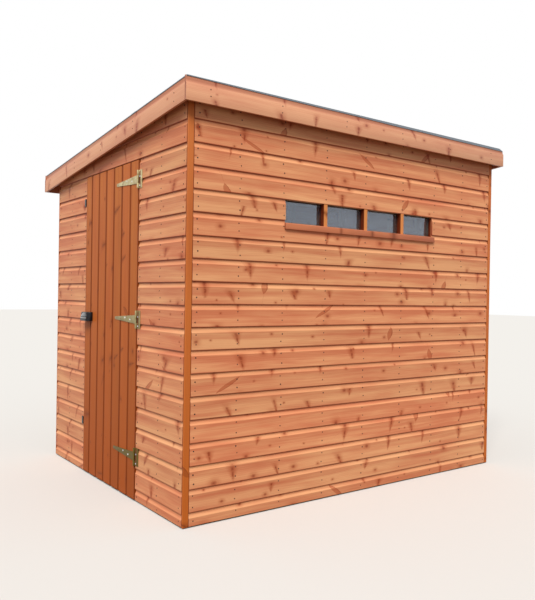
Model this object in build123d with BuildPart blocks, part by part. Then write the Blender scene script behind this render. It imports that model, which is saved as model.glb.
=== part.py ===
"""Pent-roofed wooden garden shed with shiplap walls, a ledged and braced door and a window strip."""
from build123d import *
from math import ceil, cos, floor, radians, tan
import os

# Footprint, from cladding face to cladding face, and the roof over it
front_length = 2386
depth = 1814
front_eaves_height = 2140
roof_pitch = 5.7
front_overhang = 55
back_overhang = 165
side_overhang = 46

# Shiplap boarding: each board shows a flat face, a hollow scoop and a strip of its tongue
cladding_thickness = 14
board_cover = 112
scoop_height = 21
scoop_depth = 7
tongue_shown = 6
lowest_line = 74
end_wall_line_drop = 6
cladding_foot = 8
corner_reveal = 22

# Framing of the walls
stud_width = 32
stud_depth = 44
post_foot = 5
stud_spacing = 309
purlin_width = 44
purlin_height = 58
purlin_count = 3

# Floor
bearer_width = 44
bearer_height = 50
bearer_count = 5
floor_thickness = 15

# Roof covering and its edges
deck_thickness = 12
batten_width = 28
batten_height = 38
fascia_thickness = 14
fascia_face = 79
fascia_tongue = 16
felt_thickness = 3
felt_lap = 9
corner_clip_length = 50
corner_clip_drop = 18

# Window strip in the front wall
window_width = 1177
window_height = 125
window_shift = -8
head_row_count = 4
mullion_setback = 2
sill_thickness = 33
sill_nose = 12
sill_horn = 8
glass_thickness = 3
glass_setback = 34
glass_clearance = 1
bead_width = 12

# Doorway and door, measured along the door wall from the front cladding face
door_hinge_edge = 532
door_width = 751
door_foot = 10
door_gap = 5
latch_gap = 6
jamb_stop = 10
door_proud = 3
door_board_thickness = 12
door_board_cover = 111.4
door_first_joint = 101
groove_depth = 4
groove_width = 9
ledge_width = 95
ledge_thickness = 20
ledge_inset = 24
ledge_chamfer = 3
brace_width = 70

# Tee hinges: the outer two measured from the door's foot and head, and their sizes
lower_hinge_rise = 234
upper_hinge_drop = 106
middle_hinge_shift = -8
hinge_metal = 3
plate_height = 97
plate_width = 39
strap_length = 285
strap_base = 48
strap_tip = 16
knuckle_radius = 5
knuckle_length = 40
knuckle_gap = 0.5
knuckle_relief = 1
pin_radius = 2.5
pin_clearance = 0.3
knuckle_stand = 1

# Handle, a case whose face leans outwards to its foot, and the keep plates by the latch edge
handle_height = 982
handle_edge_distance = 19
handle_width = 107
handle_depth = 56
handle_top_reach = 33
handle_foot_reach = 42
handle_near_radius = 26
handle_edge_radius = 5
keep_width = 22
keep_height = 48
keep_thickness = 4
keep_inset = 2
lower_keep_rise = 312
upper_keep_drop = 156

# Levels and faces worked out from the sizes above
x_door_wall = -front_length / 2
x_far_wall = front_length / 2
y_front = -(depth + back_overhang - front_overhang) / 2
y_back = y_front + depth
wall_thickness = cladding_thickness + stud_depth
face_height = board_cover - scoop_height - tongue_shown
floor_top = bearer_height + floor_thickness
fall = tan(radians(roof_pitch))
plumb = 1 / cos(radians(roof_pitch))
deck_rise = deck_thickness * plumb
felt_rise = felt_thickness * plumb
clad_length = front_length - 2 * (cladding_thickness + corner_reveal)
frame_x = x_door_wall + cladding_thickness
frame_y = y_front + cladding_thickness
inner_x = x_door_wall + wall_thickness
inner_y = y_front + wall_thickness
inner_length = front_length - 2 * wall_thickness
inner_depth = depth - 2 * wall_thickness
end_wall_line = lowest_line - end_wall_line_drop
overheight = front_eaves_height + board_cover
footprint = Plane(origin=(0, (y_front + y_back) / 2, 0))


def under_deck(y):
    """Height of the roof deck's underside at a place across the shed."""
    return front_eaves_height - (y - y_front) * fall


deck_underside = Plane(
    origin=(0, y_front, front_eaves_height), x_dir=(1, 0, 0), z_dir=(0, fall, 1)
)
deck_top = Plane(
    origin=(0, y_front, front_eaves_height + deck_rise), x_dir=(1, 0, 0), z_dir=(0, fall, 1)
)


def section_plane(start, inward, along):
    """Plane of a wall's section: x runs into the wall, y runs up, and extruding follows along."""
    return Plane(origin=start, x_dir=inward, z_dir=along)


def shiplap_section(bottom, top, line):
    """Section of shiplap boarding between two heights, with its face at x = 0."""
    first = floor((bottom - line) / board_cover)
    last = ceil((top - line) / board_cover)
    with BuildLine() as outline:
        for row in range(first, last):
            edge = line + row * board_cover
            scoop_top = edge + face_height + scoop_height
            Polyline((scoop_depth, edge), (0, edge), (0, edge + face_height))
            TangentArc((scoop_depth, scoop_top), (0, edge + face_height), tangent=(0, -1))
            Line((scoop_depth, scoop_top), (scoop_depth, edge + board_cover))
        Polyline(
            (scoop_depth, line + last * board_cover),
            (cladding_thickness, line + last * board_cover),
            (cladding_thickness, line + first * board_cover),
            (scoop_depth, line + first * board_cover),
        )
    make_face(outline.edges())
    with Locations((cladding_thickness / 2, (bottom + top) / 2)):
        Rectangle(cladding_thickness, top - bottom, mode=Mode.INTERSECT)


def fascia_section():
    """Section of a fascia board hung from y = 0, with its face at x = 0."""
    scoop_top = -fascia_tongue
    face_top = scoop_top - scoop_height
    with BuildLine() as outline:
        Polyline(
            (scoop_depth, scoop_top),
            (scoop_depth, batten_width),
            (fascia_thickness, batten_width),
            (fascia_thickness, face_top - fascia_face),
            (0, face_top - fascia_face),
            (0, face_top),
        )
        TangentArc((scoop_depth, scoop_top), (0, face_top), tangent=(0, -1))
    make_face(outline.edges())


def roof_strip(y_low, y_high, bottom, top):
    """Outline across the shed of a piece between two heights above the deck's underside."""
    with BuildLine() as outline:
        Polyline(
            (y_low, under_deck(y_low) + bottom),
            (y_high, under_deck(y_high) + bottom),
            (y_high, under_deck(y_high) + top),
            (y_low, under_deck(y_low) + top),
            close=True,
        )
    make_face(outline.edges())


def upright(y_low, y_high, bottom, below_deck):
    """Outline across the shed of an upright whose sloping top stays below the deck."""
    with BuildLine() as outline:
        Polyline(
            (y_low, bottom),
            (y_high, bottom),
            (y_high, under_deck(y_high) - below_deck),
            (y_low, under_deck(y_low) - below_deck),
            close=True,
        )
    make_face(outline.edges())


def finish(piece, label):
    """Name a finished piece and write its file."""
    piece.part.label = label
    export_step(piece.part, f"parts/{label}.step")


os.makedirs("parts", exist_ok=True)

# Floor: bearers on the ground, and a deck notched round the corner posts
bearer_pitch = (depth - 2 * cladding_thickness - bearer_width) / (bearer_count - 1)
with BuildPart() as floor_bearers:
    with BuildSketch(footprint):
        with GridLocations(0, bearer_pitch, 1, bearer_count):
            Rectangle(inner_length, bearer_width)
    extrude(amount=bearer_height)
finish(floor_bearers, "floor_bearers")

with BuildPart() as floor_deck:
    with BuildSketch(footprint.offset(bearer_height)):
        Rectangle(front_length - 2 * cladding_thickness, depth - 2 * cladding_thickness)
        with GridLocations(
            front_length - 2 * cladding_thickness - stud_depth,
            depth - 2 * cladding_thickness - stud_depth,
            2, 2,
        ):
            Rectangle(stud_depth, stud_depth, mode=Mode.SUBTRACT)
    extrude(amount=floor_thickness)
finish(floor_deck, "floor_deck")

# Corner posts, their tops cut to the fall of the roof
with BuildPart() as corner_posts:
    for x_post in (frame_x, x_far_wall - wall_thickness):
        with BuildSketch(Plane.YZ.offset(x_post)):
            upright(frame_y, inner_y, post_foot, 0)
            upright(y_back - wall_thickness, y_back - cladding_thickness, post_foot, 0)
        extrude(amount=stud_depth)
finish(corner_posts, "corner_posts")

# Window opening, its head on the board line that leaves the named count of rows over it
window_lines_up = floor((front_eaves_height - lowest_line) / board_cover) - head_row_count
window_left = window_shift - window_width / 2
window_right = window_shift + window_width / 2
window_head = lowest_line + window_lines_up * board_cover
window_sill_height = window_head - window_height
sill_underside = window_sill_height - sill_thickness
rail_top = floor_top + stud_width
rail_rise = stud_width * plumb
window_studs = (window_shift - stud_spacing, window_shift, window_shift + stud_spacing)
jamb_studs = (window_left - stud_width / 2, window_right + stud_width / 2)
outer_studs = (
    jamb_studs[0] - stud_spacing + stud_width,
    jamb_studs[1] + stud_spacing - stud_width,
)

# Front wall frame: full studs, and short studs below and above the window
with BuildPart() as front_studs:
    for x_stud in (*jamb_studs, *outer_studs):
        with BuildSketch(Plane.YZ.offset(x_stud - stud_width / 2)):
            upright(frame_y, inner_y, rail_top, rail_rise)
        extrude(amount=stud_width)
    for x_stud in window_studs:
        with BuildSketch(Plane.YZ.offset(x_stud - stud_width / 2)):
            upright(frame_y, inner_y, window_head + stud_width, rail_rise)
            with Locations((frame_y, rail_top)):
                Rectangle(
                    stud_depth, sill_underside - rail_top, align=(Align.MIN, Align.MIN)
                )
        extrude(amount=stud_width)
finish(front_studs, "front_studs")

with BuildPart() as front_rails:
    with BuildSketch(Plane.YZ.offset(inner_x)):
        with Locations((frame_y, floor_top)):
            Rectangle(stud_depth, stud_width, align=(Align.MIN, Align.MIN))
        roof_strip(frame_y, inner_y, -rail_rise, 0)
    extrude(amount=inner_length)
    with BuildSketch(Plane.YZ.offset(window_left)):
        with Locations((frame_y, window_head)):
            Rectangle(stud_depth, stud_width, align=(Align.MIN, Align.MIN))
    extrude(amount=window_width)
finish(front_rails, "front_rails")

# Back wall frame
back_stud_count = 7
with BuildPart() as back_studs:
    for number in range(back_stud_count):
        x_stud = inner_x + inner_length * (number + 1) / (back_stud_count + 1)
        with BuildSketch(Plane.YZ.offset(x_stud - stud_width / 2)):
            upright(y_back - wall_thickness, y_back - cladding_thickness, rail_top, rail_rise)
        extrude(amount=stud_width)
finish(back_studs, "back_studs")

with BuildPart() as back_rails:
    with BuildSketch(Plane.YZ.offset(inner_x)):
        with Locations((y_back - wall_thickness, floor_top)):
            Rectangle(stud_depth, stud_width, align=(Align.MIN, Align.MIN))
        roof_strip(y_back - wall_thickness, y_back - cladding_thickness, -rail_rise, 0)
    extrude(amount=inner_length)
finish(back_rails, "back_rails")

# Doorway: its edges along the wall, and the studs that the door shuts in front of
y_hinge_edge = y_front + door_hinge_edge
y_latch_edge = y_hinge_edge + door_width
y_near_cladding = y_hinge_edge - door_gap
y_far_cladding = y_latch_edge + latch_gap
y_hinge_jamb = y_hinge_edge + jamb_stop
y_latch_jamb = y_latch_edge - jamb_stop
purlin_rise = purlin_height * plumb
end_rail_top = -purlin_rise
end_rail_underside = -purlin_rise - rail_rise
head_room = under_deck(y_latch_edge) + end_rail_underside - stud_width - end_wall_line
door_lines_up = floor(head_room / board_cover)
door_line = end_wall_line + door_lines_up * board_cover
door_head = door_line - latch_gap
head_underside = door_head - jamb_stop

# End wall frames: the sloping top rail is held down to let the purlins rest on it
door_wall_stud_centres = (
    (inner_y + y_hinge_jamb - stud_width) / 2,
    y_hinge_jamb - stud_width / 2,
    y_latch_jamb + stud_width / 2,
    (y_latch_jamb + stud_width + y_back - wall_thickness) / 2,
)
with BuildPart() as door_wall_studs:
    with BuildSketch(Plane.YZ.offset(frame_x)):
        for y_stud in door_wall_stud_centres:
            upright(
                y_stud - stud_width / 2, y_stud + stud_width / 2, rail_top, -end_rail_underside
            )
        y_middle = (y_hinge_jamb + y_latch_jamb) / 2
        upright(
            y_middle - stud_width / 2, y_middle + stud_width / 2,
            head_underside + stud_width, -end_rail_underside,
        )
    extrude(amount=stud_depth)
    with BuildSketch(Plane.XY.offset(floor_top)):
        with Locations(
            (frame_x, y_hinge_jamb - stud_width), (frame_x, y_latch_jamb),
        ):
            Rectangle(stud_depth, stud_width, align=(Align.MIN, Align.MIN))
    extrude(amount=stud_width)
finish(door_wall_studs, "door_wall_studs")

with BuildPart() as door_wall_rails:
    with BuildSketch(Plane.YZ.offset(frame_x)):
        roof_strip(inner_y, y_back - wall_thickness, end_rail_underside, end_rail_top)
        with Locations((inner_y, floor_top)):
            Rectangle(
                y_hinge_jamb - stud_width - inner_y, stud_width, align=(Align.MIN, Align.MIN)
            )
        with Locations((y_latch_jamb + stud_width, floor_top)):
            Rectangle(
                y_back - wall_thickness - y_latch_jamb - stud_width, stud_width,
                align=(Align.MIN, Align.MIN),
            )
        with Locations((y_hinge_jamb, head_underside)):
            Rectangle(y_latch_jamb - y_hinge_jamb, stud_width, align=(Align.MIN, Align.MIN))
    extrude(amount=stud_depth)
finish(door_wall_rails, "door_wall_rails")

far_wall_stud_count = 5
with BuildPart() as far_wall_studs:
    with BuildSketch(Plane.YZ.offset(x_far_wall - wall_thickness)):
        for number in range(far_wall_stud_count):
            y_stud = inner_y + inner_depth * (number + 1) / (far_wall_stud_count + 1)
            upright(
                y_stud - stud_width / 2, y_stud + stud_width / 2, rail_top, -end_rail_underside
            )
    extrude(amount=stud_depth)
finish(far_wall_studs, "far_wall_studs")

with BuildPart() as far_wall_rails:
    with BuildSketch(Plane.YZ.offset(x_far_wall - wall_thickness)):
        roof_strip(inner_y, y_back - wall_thickness, end_rail_underside, end_rail_top)
        with Locations((inner_y, floor_top)):
            Rectangle(inner_depth, stud_width, align=(Align.MIN, Align.MIN))
    extrude(amount=stud_depth)
finish(far_wall_rails, "far_wall_rails")

# Front cladding, in four panels round the window
clad_start = x_door_wall + cladding_thickness + corner_reveal
window_course = lowest_line + (window_lines_up - 1) * board_cover


def front_plane(x_start):
    """Section plane of the front wall at a place along it."""
    return section_plane((x_start, y_front, 0), (0, 1, 0), (1, 0, 0))


with BuildPart() as front_cladding_lower:
    with BuildSketch(front_plane(clad_start)):
        shiplap_section(cladding_foot, window_course, lowest_line)
    extrude(amount=clad_length)
    with BuildSketch(Plane.XY.offset(sill_underside)):
        with Locations((window_left, y_front)):
            Rectangle(window_width, cladding_thickness, align=(Align.MIN, Align.MIN))
    extrude(amount=window_course - sill_underside, mode=Mode.SUBTRACT)
finish(front_cladding_lower, "front_cladding_lower")

with BuildPart() as front_cladding_left:
    with BuildSketch(front_plane(clad_start)):
        shiplap_section(window_course, window_head, lowest_line)
    extrude(amount=window_left - clad_start)
finish(front_cladding_left, "front_cladding_left")

with BuildPart() as front_cladding_right:
    with BuildSketch(front_plane(window_right)):
        shiplap_section(window_course, window_head, lowest_line)
    extrude(amount=clad_start + clad_length - window_right)
finish(front_cladding_right, "front_cladding_right")

with BuildPart() as front_cladding_upper:
    with BuildSketch(front_plane(clad_start)):
        shiplap_section(window_head, overheight, lowest_line)
    extrude(amount=clad_length)
    split(bisect_by=deck_underside, keep=Keep.BOTTOM)
finish(front_cladding_upper, "front_cladding_upper")

# Back cladding
with BuildPart() as back_cladding:
    with BuildSketch(section_plane((-clad_start, y_back, 0), (0, -1, 0), (-1, 0, 0))):
        shiplap_section(cladding_foot, overheight, lowest_line)
    extrude(amount=clad_length)
    split(bisect_by=deck_underside, keep=Keep.BOTTOM)
finish(back_cladding, "back_cladding")


# Door wall cladding, split beside and over the doorway
def door_wall_plane(y_start):
    """Section plane of the door wall; it extrudes towards the front."""
    return section_plane((x_door_wall, y_start, 0), (1, 0, 0), (0, -1, 0))


with BuildPart() as door_wall_cladding_near:
    with BuildSketch(door_wall_plane(y_near_cladding)):
        shiplap_section(cladding_foot, door_line, end_wall_line)
    extrude(amount=y_near_cladding - frame_y)
finish(door_wall_cladding_near, "door_wall_cladding_near")

with BuildPart() as door_wall_cladding_far:
    with BuildSketch(door_wall_plane(y_back - cladding_thickness)):
        shiplap_section(cladding_foot, door_line, end_wall_line)
    extrude(amount=y_back - cladding_thickness - y_far_cladding)
finish(door_wall_cladding_far, "door_wall_cladding_far")

with BuildPart() as door_wall_cladding_over:
    with BuildSketch(door_wall_plane(y_back - cladding_thickness)):
        shiplap_section(door_line, overheight, end_wall_line)
    extrude(amount=depth - 2 * cladding_thickness)
    split(bisect_by=deck_underside, keep=Keep.BOTTOM)
finish(door_wall_cladding_over, "door_wall_cladding_over")

# Far end wall cladding
with BuildPart() as far_wall_cladding:
    with BuildSketch(section_plane((x_far_wall, frame_y, 0), (-1, 0, 0), (0, 1, 0))):
        shiplap_section(cladding_foot, overheight, end_wall_line)
    extrude(amount=depth - 2 * cladding_thickness)
    split(bisect_by=deck_underside, keep=Keep.BOTTOM)
finish(far_wall_cladding, "far_wall_cladding")

# Window: a sill with a nose, three mullions, four panes and the beads behind them
with BuildPart() as window_sill:
    with BuildSketch(Plane.XY.offset(sill_underside)):
        with Locations((window_left, y_front)):
            Rectangle(window_width, wall_thickness, align=(Align.MIN, Align.MIN))
        with Locations((window_left - sill_horn, y_front)):
            Rectangle(window_width + 2 * sill_horn, sill_nose, align=(Align.MIN, Align.MAX))
    extrude(amount=sill_thickness)
    nose_edges = window_sill.edges().filter_by(Axis.X).group_by(Axis.Y)[0]
    fillet(nose_edges.sort_by(Axis.Z)[-1], radius=sill_nose / 2)
finish(window_sill, "window_sill")

mullion_height = window_head - window_sill_height
with BuildPart() as window_mullions:
    with BuildSketch(Plane.XY.offset(window_sill_height)):
        for x_stud in window_studs:
            with Locations((x_stud, y_front + mullion_setback)):
                Rectangle(
                    stud_width, wall_thickness - mullion_setback, align=(Align.CENTER, Align.MIN)
                )
    extrude(amount=mullion_height)
finish(window_mullions, "window_mullions")

pane_edges = [window_left]
for x_stud in window_studs:
    pane_edges += [x_stud - stud_width / 2, x_stud + stud_width / 2]
pane_edges.append(window_right)
pane_spans = list(zip(pane_edges[::2], pane_edges[1::2]))

with BuildPart() as window_panes:
    with BuildSketch(Plane.XY.offset(window_sill_height)):
        for x_left, x_right in pane_spans:
            with Locations(((x_left + x_right) / 2, y_front + glass_setback)):
                Rectangle(
                    x_right - x_left - 2 * glass_clearance, glass_thickness,
                    align=(Align.CENTER, Align.MIN),
                )
    extrude(amount=mullion_height - glass_clearance)
finish(window_panes, "window_panes")

with BuildPart() as window_beads:
    for height in (window_sill_height, window_head - bead_width):
        with BuildSketch(Plane.XY.offset(height)):
            for x_left, x_right in pane_spans:
                with Locations((x_left, y_front + glass_setback + glass_thickness)):
                    Rectangle(x_right - x_left, bead_width, align=(Align.MIN, Align.MIN))
        extrude(amount=bead_width)
finish(window_beads, "window_beads")

# Roof: purlins on the end walls, deck, battens behind the fascias, and felt over all
outer_x = x_door_wall - side_overhang
outer_front = y_front - front_overhang
outer_back = y_back + back_overhang
deck_front = outer_front + fascia_thickness
deck_back = outer_back - fascia_thickness
deck_x = outer_x + fascia_thickness
corner_clip = Plane(
    origin=(
        -outer_x - corner_clip_length, outer_front,
        under_deck(outer_front) + deck_rise + felt_rise,
    ),
    z_dir=(corner_clip_drop, corner_clip_length * fall - corner_clip_drop, corner_clip_length),
)
with BuildPart() as purlins:
    with BuildSketch(Plane.YZ.offset(frame_x)):
        for number in range(purlin_count):
            y_purlin = inner_y + inner_depth * (number + 1) / (purlin_count + 1)
            roof_strip(
                y_purlin - purlin_width / 2, y_purlin + purlin_width / 2, -purlin_rise, 0
            )
    extrude(amount=front_length - 2 * cladding_thickness)
finish(purlins, "purlins")

with BuildPart() as roof_deck:
    with BuildSketch(Plane.YZ.offset(deck_x)):
        roof_strip(deck_front, deck_back, 0, deck_rise)
    extrude(amount=-2 * deck_x)
    split(bisect_by=corner_clip, keep=Keep.BOTTOM)
finish(roof_deck, "roof_deck")

batten_rise = batten_height * plumb
with BuildPart() as eaves_battens:
    with BuildSketch(Plane.YZ.offset(deck_x)):
        roof_strip(deck_front, deck_front + batten_width, -batten_rise, 0)
        roof_strip(deck_back - batten_width, deck_back, -batten_rise, 0)
    extrude(amount=-2 * deck_x)
finish(eaves_battens, "eaves_battens")

with BuildPart() as verge_battens:
    for x_batten in (deck_x, -deck_x - batten_width):
        with BuildSketch(Plane.YZ.offset(x_batten)):
            roof_strip(deck_front + batten_width, deck_back - batten_width, -batten_rise, 0)
        extrude(amount=batten_width)
finish(verge_battens, "verge_battens")

with BuildPart() as roof_felt:
    with BuildSketch(Plane.YZ.offset(outer_x)):
        roof_strip(
            outer_front - felt_thickness, outer_back + felt_thickness,
            deck_rise - felt_lap, deck_rise + felt_rise,
        )
    extrude(amount=-2 * outer_x)
    with BuildSketch(Plane.YZ.offset(outer_x)):
        roof_strip(outer_front, outer_back, -overheight, deck_rise)
    extrude(amount=-2 * outer_x, mode=Mode.SUBTRACT)
    split(bisect_by=corner_clip, keep=Keep.BOTTOM)
finish(roof_felt, "roof_felt")

# Fascias: front and back boards cover the ends of the sloping side boards
with BuildPart() as front_fascia:
    with BuildSketch(
        section_plane(
            (outer_x, outer_front, under_deck(deck_front) + deck_rise), (0, 1, 0), (1, 0, 0)
        )
    ):
        fascia_section()
    extrude(amount=-2 * outer_x)
    split(bisect_by=deck_top, keep=Keep.BOTTOM)
    split(bisect_by=corner_clip, keep=Keep.BOTTOM)
finish(front_fascia, "front_fascia")

with BuildPart() as back_fascia:
    with BuildSketch(
        section_plane(
            (-outer_x, outer_back, under_deck(deck_back) + deck_rise), (0, -1, 0), (-1, 0, 0)
        )
    ):
        fascia_section()
    extrude(amount=-2 * outer_x)
    split(bisect_by=deck_top, keep=Keep.BOTTOM)
finish(back_fascia, "back_fascia")


def side_fascia(x_face, inward, along):
    """Sloping fascia board between the front and back ones."""
    middle = Plane(origin=(x_face, 0, under_deck(0) + deck_rise), x_dir=inward, z_dir=along)
    with BuildSketch(middle) as board:
        fascia_section()
    extrude(board.sketch, amount=depth, both=True)
    split(bisect_by=deck_top, keep=Keep.BOTTOM)
    split(bisect_by=Plane.XZ.offset(-deck_front), keep=Keep.BOTTOM)
    split(bisect_by=Plane.XZ.offset(-deck_back), keep=Keep.TOP)


with BuildPart() as door_side_fascia:
    side_fascia(outer_x, (1, 0, 0), (0, -1, fall))
finish(door_side_fascia, "door_side_fascia")

with BuildPart() as far_side_fascia:
    side_fascia(-outer_x, (-1, 0, 0), (0, 1, -fall))
    split(bisect_by=corner_clip, keep=Keep.BOTTOM)
finish(far_side_fascia, "far_side_fascia")

# Door: grooved matchboards, with ledges and braces on the inside
door_x = x_door_wall - door_proud
door_back_x = door_x + door_board_thickness
joint_count = floor((door_width - door_first_joint) / door_board_cover) + 1
with BuildPart() as door_boards:
    with BuildSketch(Plane.XY.offset(door_foot)):
        with Locations((door_x, y_hinge_edge)):
            Rectangle(door_board_thickness, door_width, align=(Align.MIN, Align.MIN))
        for number in range(joint_count):
            y_joint = y_hinge_edge + door_first_joint + number * door_board_cover
            with BuildLine():
                Polyline(
                    (door_x, y_joint - groove_width / 2),
                    (door_x + groove_depth, y_joint),
                    (door_x, y_joint + groove_width / 2),
                    close=True,
                )
            make_face(mode=Mode.SUBTRACT)
    extrude(amount=door_head - door_foot)
finish(door_boards, "door_boards")

lower_hinge_height = door_foot + lower_hinge_rise
upper_hinge_height = door_head - upper_hinge_drop
hinge_heights = (
    lower_hinge_height,
    (lower_hinge_height + upper_hinge_height) / 2 + middle_hinge_shift,
    upper_hinge_height,
)
ledge_start = y_hinge_edge + ledge_inset
ledge_end = y_latch_edge - ledge_inset
with BuildPart() as door_ledges:
    with BuildSketch(Plane.YZ.offset(door_back_x)):
        for height in hinge_heights:
            with Locations((ledge_start, height)):
                Rectangle(ledge_end - ledge_start, ledge_width, align=(Align.MIN, Align.CENTER))
    extrude(amount=ledge_thickness)
    chamfer(door_ledges.edges().filter_by(Axis.Y).group_by(Axis.X)[-1], length=ledge_chamfer)
finish(door_ledges, "door_ledges")

with BuildPart() as door_braces:
    with BuildSketch(Plane.YZ.offset(door_back_x)):
        for low, high in zip(hinge_heights, hinge_heights[1:]):
            with BuildLine():
                Polyline(
                    (ledge_start, low + ledge_width / 2),
                    (ledge_start + brace_width, low + ledge_width / 2),
                    (ledge_end, high - ledge_width / 2),
                    (ledge_end - brace_width, high - ledge_width / 2),
                    close=True,
                )
            make_face()
    extrude(amount=ledge_thickness)
finish(door_braces, "door_braces")

# Tee hinges: a plate with two knuckles and the pin on the wall, a tapered strap on the door
pin_x = door_x - knuckle_stand - knuckle_radius
pin_y = y_hinge_edge - door_gap / 2
leaf_start = knuckle_radius + knuckle_relief
plate_end = pin_y - plate_width
with BuildPart() as hinge_plates:
    for height in hinge_heights:
        with BuildSketch(Plane.XY.offset(height - plate_height / 2)):
            with Locations((x_door_wall - hinge_metal, plate_end)):
                Rectangle(
                    hinge_metal, plate_width - knuckle_radius + hinge_metal,
                    align=(Align.MIN, Align.MIN),
                )
            with Locations((pin_x, pin_y - knuckle_radius)):
                Rectangle(x_door_wall - pin_x, hinge_metal, align=(Align.MIN, Align.MIN))
            with Locations((pin_x, pin_y)):
                Circle(knuckle_radius)
        extrude(amount=plate_height)
        with BuildSketch(Plane.XY.offset(height - knuckle_length / 2 - knuckle_gap)):
            with Locations((pin_x, pin_y)):
                Rectangle(2 * leaf_start, 2 * leaf_start)
                Rectangle(x_door_wall - pin_x, leaf_start, align=(Align.MIN, Align.MAX))
                Circle(pin_radius, mode=Mode.SUBTRACT)
        extrude(amount=knuckle_length + 2 * knuckle_gap, mode=Mode.SUBTRACT)
finish(hinge_plates, "hinge_plates")

strap_start = pin_y + leaf_start
strap_end = pin_y + strap_length
with BuildPart() as hinge_straps:
    for height in hinge_heights:
        with BuildSketch(Plane.YZ.offset(door_x - hinge_metal)):
            with BuildLine():
                Polyline(
                    (strap_start, height - strap_base / 2),
                    (strap_end - strap_tip / 2, height - strap_tip / 2),
                )
                Line(
                    (strap_end - strap_tip / 2, height + strap_tip / 2),
                    (strap_start, height + strap_base / 2),
                )
                ThreePointArc(
                    (strap_end - strap_tip / 2, height - strap_tip / 2),
                    (strap_end, height),
                    (strap_end - strap_tip / 2, height + strap_tip / 2),
                )
                Line(
                    (strap_start, height + strap_base / 2),
                    (strap_start, height - strap_base / 2),
                )
            make_face()
            with Locations((pin_y, height)):
                Rectangle(leaf_start, knuckle_length, align=(Align.MIN, Align.CENTER))
        extrude(amount=hinge_metal)
        with BuildSketch(Plane.XY.offset(height - knuckle_length / 2)):
            with Locations((pin_x, pin_y)):
                Circle(knuckle_radius)
        extrude(amount=knuckle_length)
        with BuildSketch(Plane.XY.offset(height - knuckle_length / 2)):
            with Locations((pin_x, pin_y)):
                Circle(pin_radius + pin_clearance)
        extrude(amount=knuckle_length, mode=Mode.SUBTRACT)
finish(hinge_straps, "hinge_straps")

# Handle: a case on the door's face, well rounded on the side towards the front corner
handle_far = y_latch_edge - handle_edge_distance
handle_foot = handle_height - handle_depth / 2
with BuildPart() as door_handle:
    with BuildSketch(
        Plane(origin=(door_x, handle_far, handle_foot), x_dir=(1, 0, 0), z_dir=(0, -1, 0))
    ):
        with BuildLine():
            Polyline(
                (0, 0),
                (-handle_foot_reach, 0),
                (-handle_top_reach, handle_depth),
                (0, handle_depth),
                close=True,
            )
        make_face()
    extrude(amount=handle_width)
    case_face = door_handle.faces().sort_by(Axis.X)[0]
    fillet(case_face.edges().sort_by(Axis.Y)[0], radius=handle_near_radius)
    case_rim = door_handle.faces().sort_by(Axis.X)[0].edges()
    fillet(case_rim, radius=handle_edge_radius)
finish(door_handle, "door_handle")

# Keep plates beside the latch edge
with BuildPart() as latch_keeps:
    with BuildSketch(Plane.YZ.offset(x_door_wall - keep_thickness)):
        for height in (door_foot + lower_keep_rise, door_head - upper_keep_drop):
            with Locations((y_far_cladding + keep_inset, height)):
                Rectangle(keep_width, keep_height, align=(Align.MIN, Align.CENTER))
    extrude(amount=keep_thickness)
finish(latch_keeps, "latch_keeps")
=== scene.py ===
import math
import random
import zlib

import bmesh
import bpy
from mathutils import Matrix, Vector, noise


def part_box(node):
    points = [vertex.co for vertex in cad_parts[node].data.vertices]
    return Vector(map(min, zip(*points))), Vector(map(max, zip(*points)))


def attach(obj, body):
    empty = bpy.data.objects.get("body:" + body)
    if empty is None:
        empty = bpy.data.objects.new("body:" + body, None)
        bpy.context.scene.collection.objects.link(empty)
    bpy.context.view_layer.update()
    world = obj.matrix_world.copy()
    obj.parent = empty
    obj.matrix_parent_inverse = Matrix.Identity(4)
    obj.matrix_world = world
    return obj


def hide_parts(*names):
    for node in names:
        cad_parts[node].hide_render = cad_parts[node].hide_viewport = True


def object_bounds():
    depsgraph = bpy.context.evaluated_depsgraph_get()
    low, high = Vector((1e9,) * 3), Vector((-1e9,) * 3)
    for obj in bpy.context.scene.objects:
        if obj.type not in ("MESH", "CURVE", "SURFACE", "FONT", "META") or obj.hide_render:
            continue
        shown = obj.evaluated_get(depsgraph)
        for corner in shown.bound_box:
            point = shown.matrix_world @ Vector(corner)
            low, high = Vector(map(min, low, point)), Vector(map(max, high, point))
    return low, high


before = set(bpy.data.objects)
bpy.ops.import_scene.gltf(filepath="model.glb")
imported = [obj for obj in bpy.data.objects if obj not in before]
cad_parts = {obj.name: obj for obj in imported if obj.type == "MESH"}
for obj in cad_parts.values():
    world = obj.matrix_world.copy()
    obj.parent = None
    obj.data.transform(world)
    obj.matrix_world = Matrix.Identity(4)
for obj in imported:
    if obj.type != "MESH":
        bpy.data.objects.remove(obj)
cad_low, cad_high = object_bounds()
X, Y = Vector((1, 0, 0)), Vector((0, 1, 0))

# Shiplap boards: cover, flat face, hollow scoop, and the lap that hides behind the next board
COVER = 0.112
FACE = 0.085
SCOOP = 0.021
SCOOP_DEPTH = 0.007
SCOOP_STEPS = 7
BOARD_THICKNESS = 0.014
LAP = 0.008
LIP_EASE = 0.0012
REBATE_HEIGHT = LAP + 0.0005
REBATE_DEPTH = SCOOP_DEPTH + 0.0006

# A laid board's bow out of the wall, its waver and stray in height, and the steps it is made in
BOW = 0.0010
WAVER = 0.0010
STRAY = 0.0007
BOW_STEP = 0.15

# Lowest joint of the long and of the end walls, foot of the boards, and a height over every wall
FRONT_LINE = 0.074
END_LINE = 0.068
FOOT = 0.008
TOP = 2.3
BOARD_ROWS = range(-1, 20)

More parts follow.
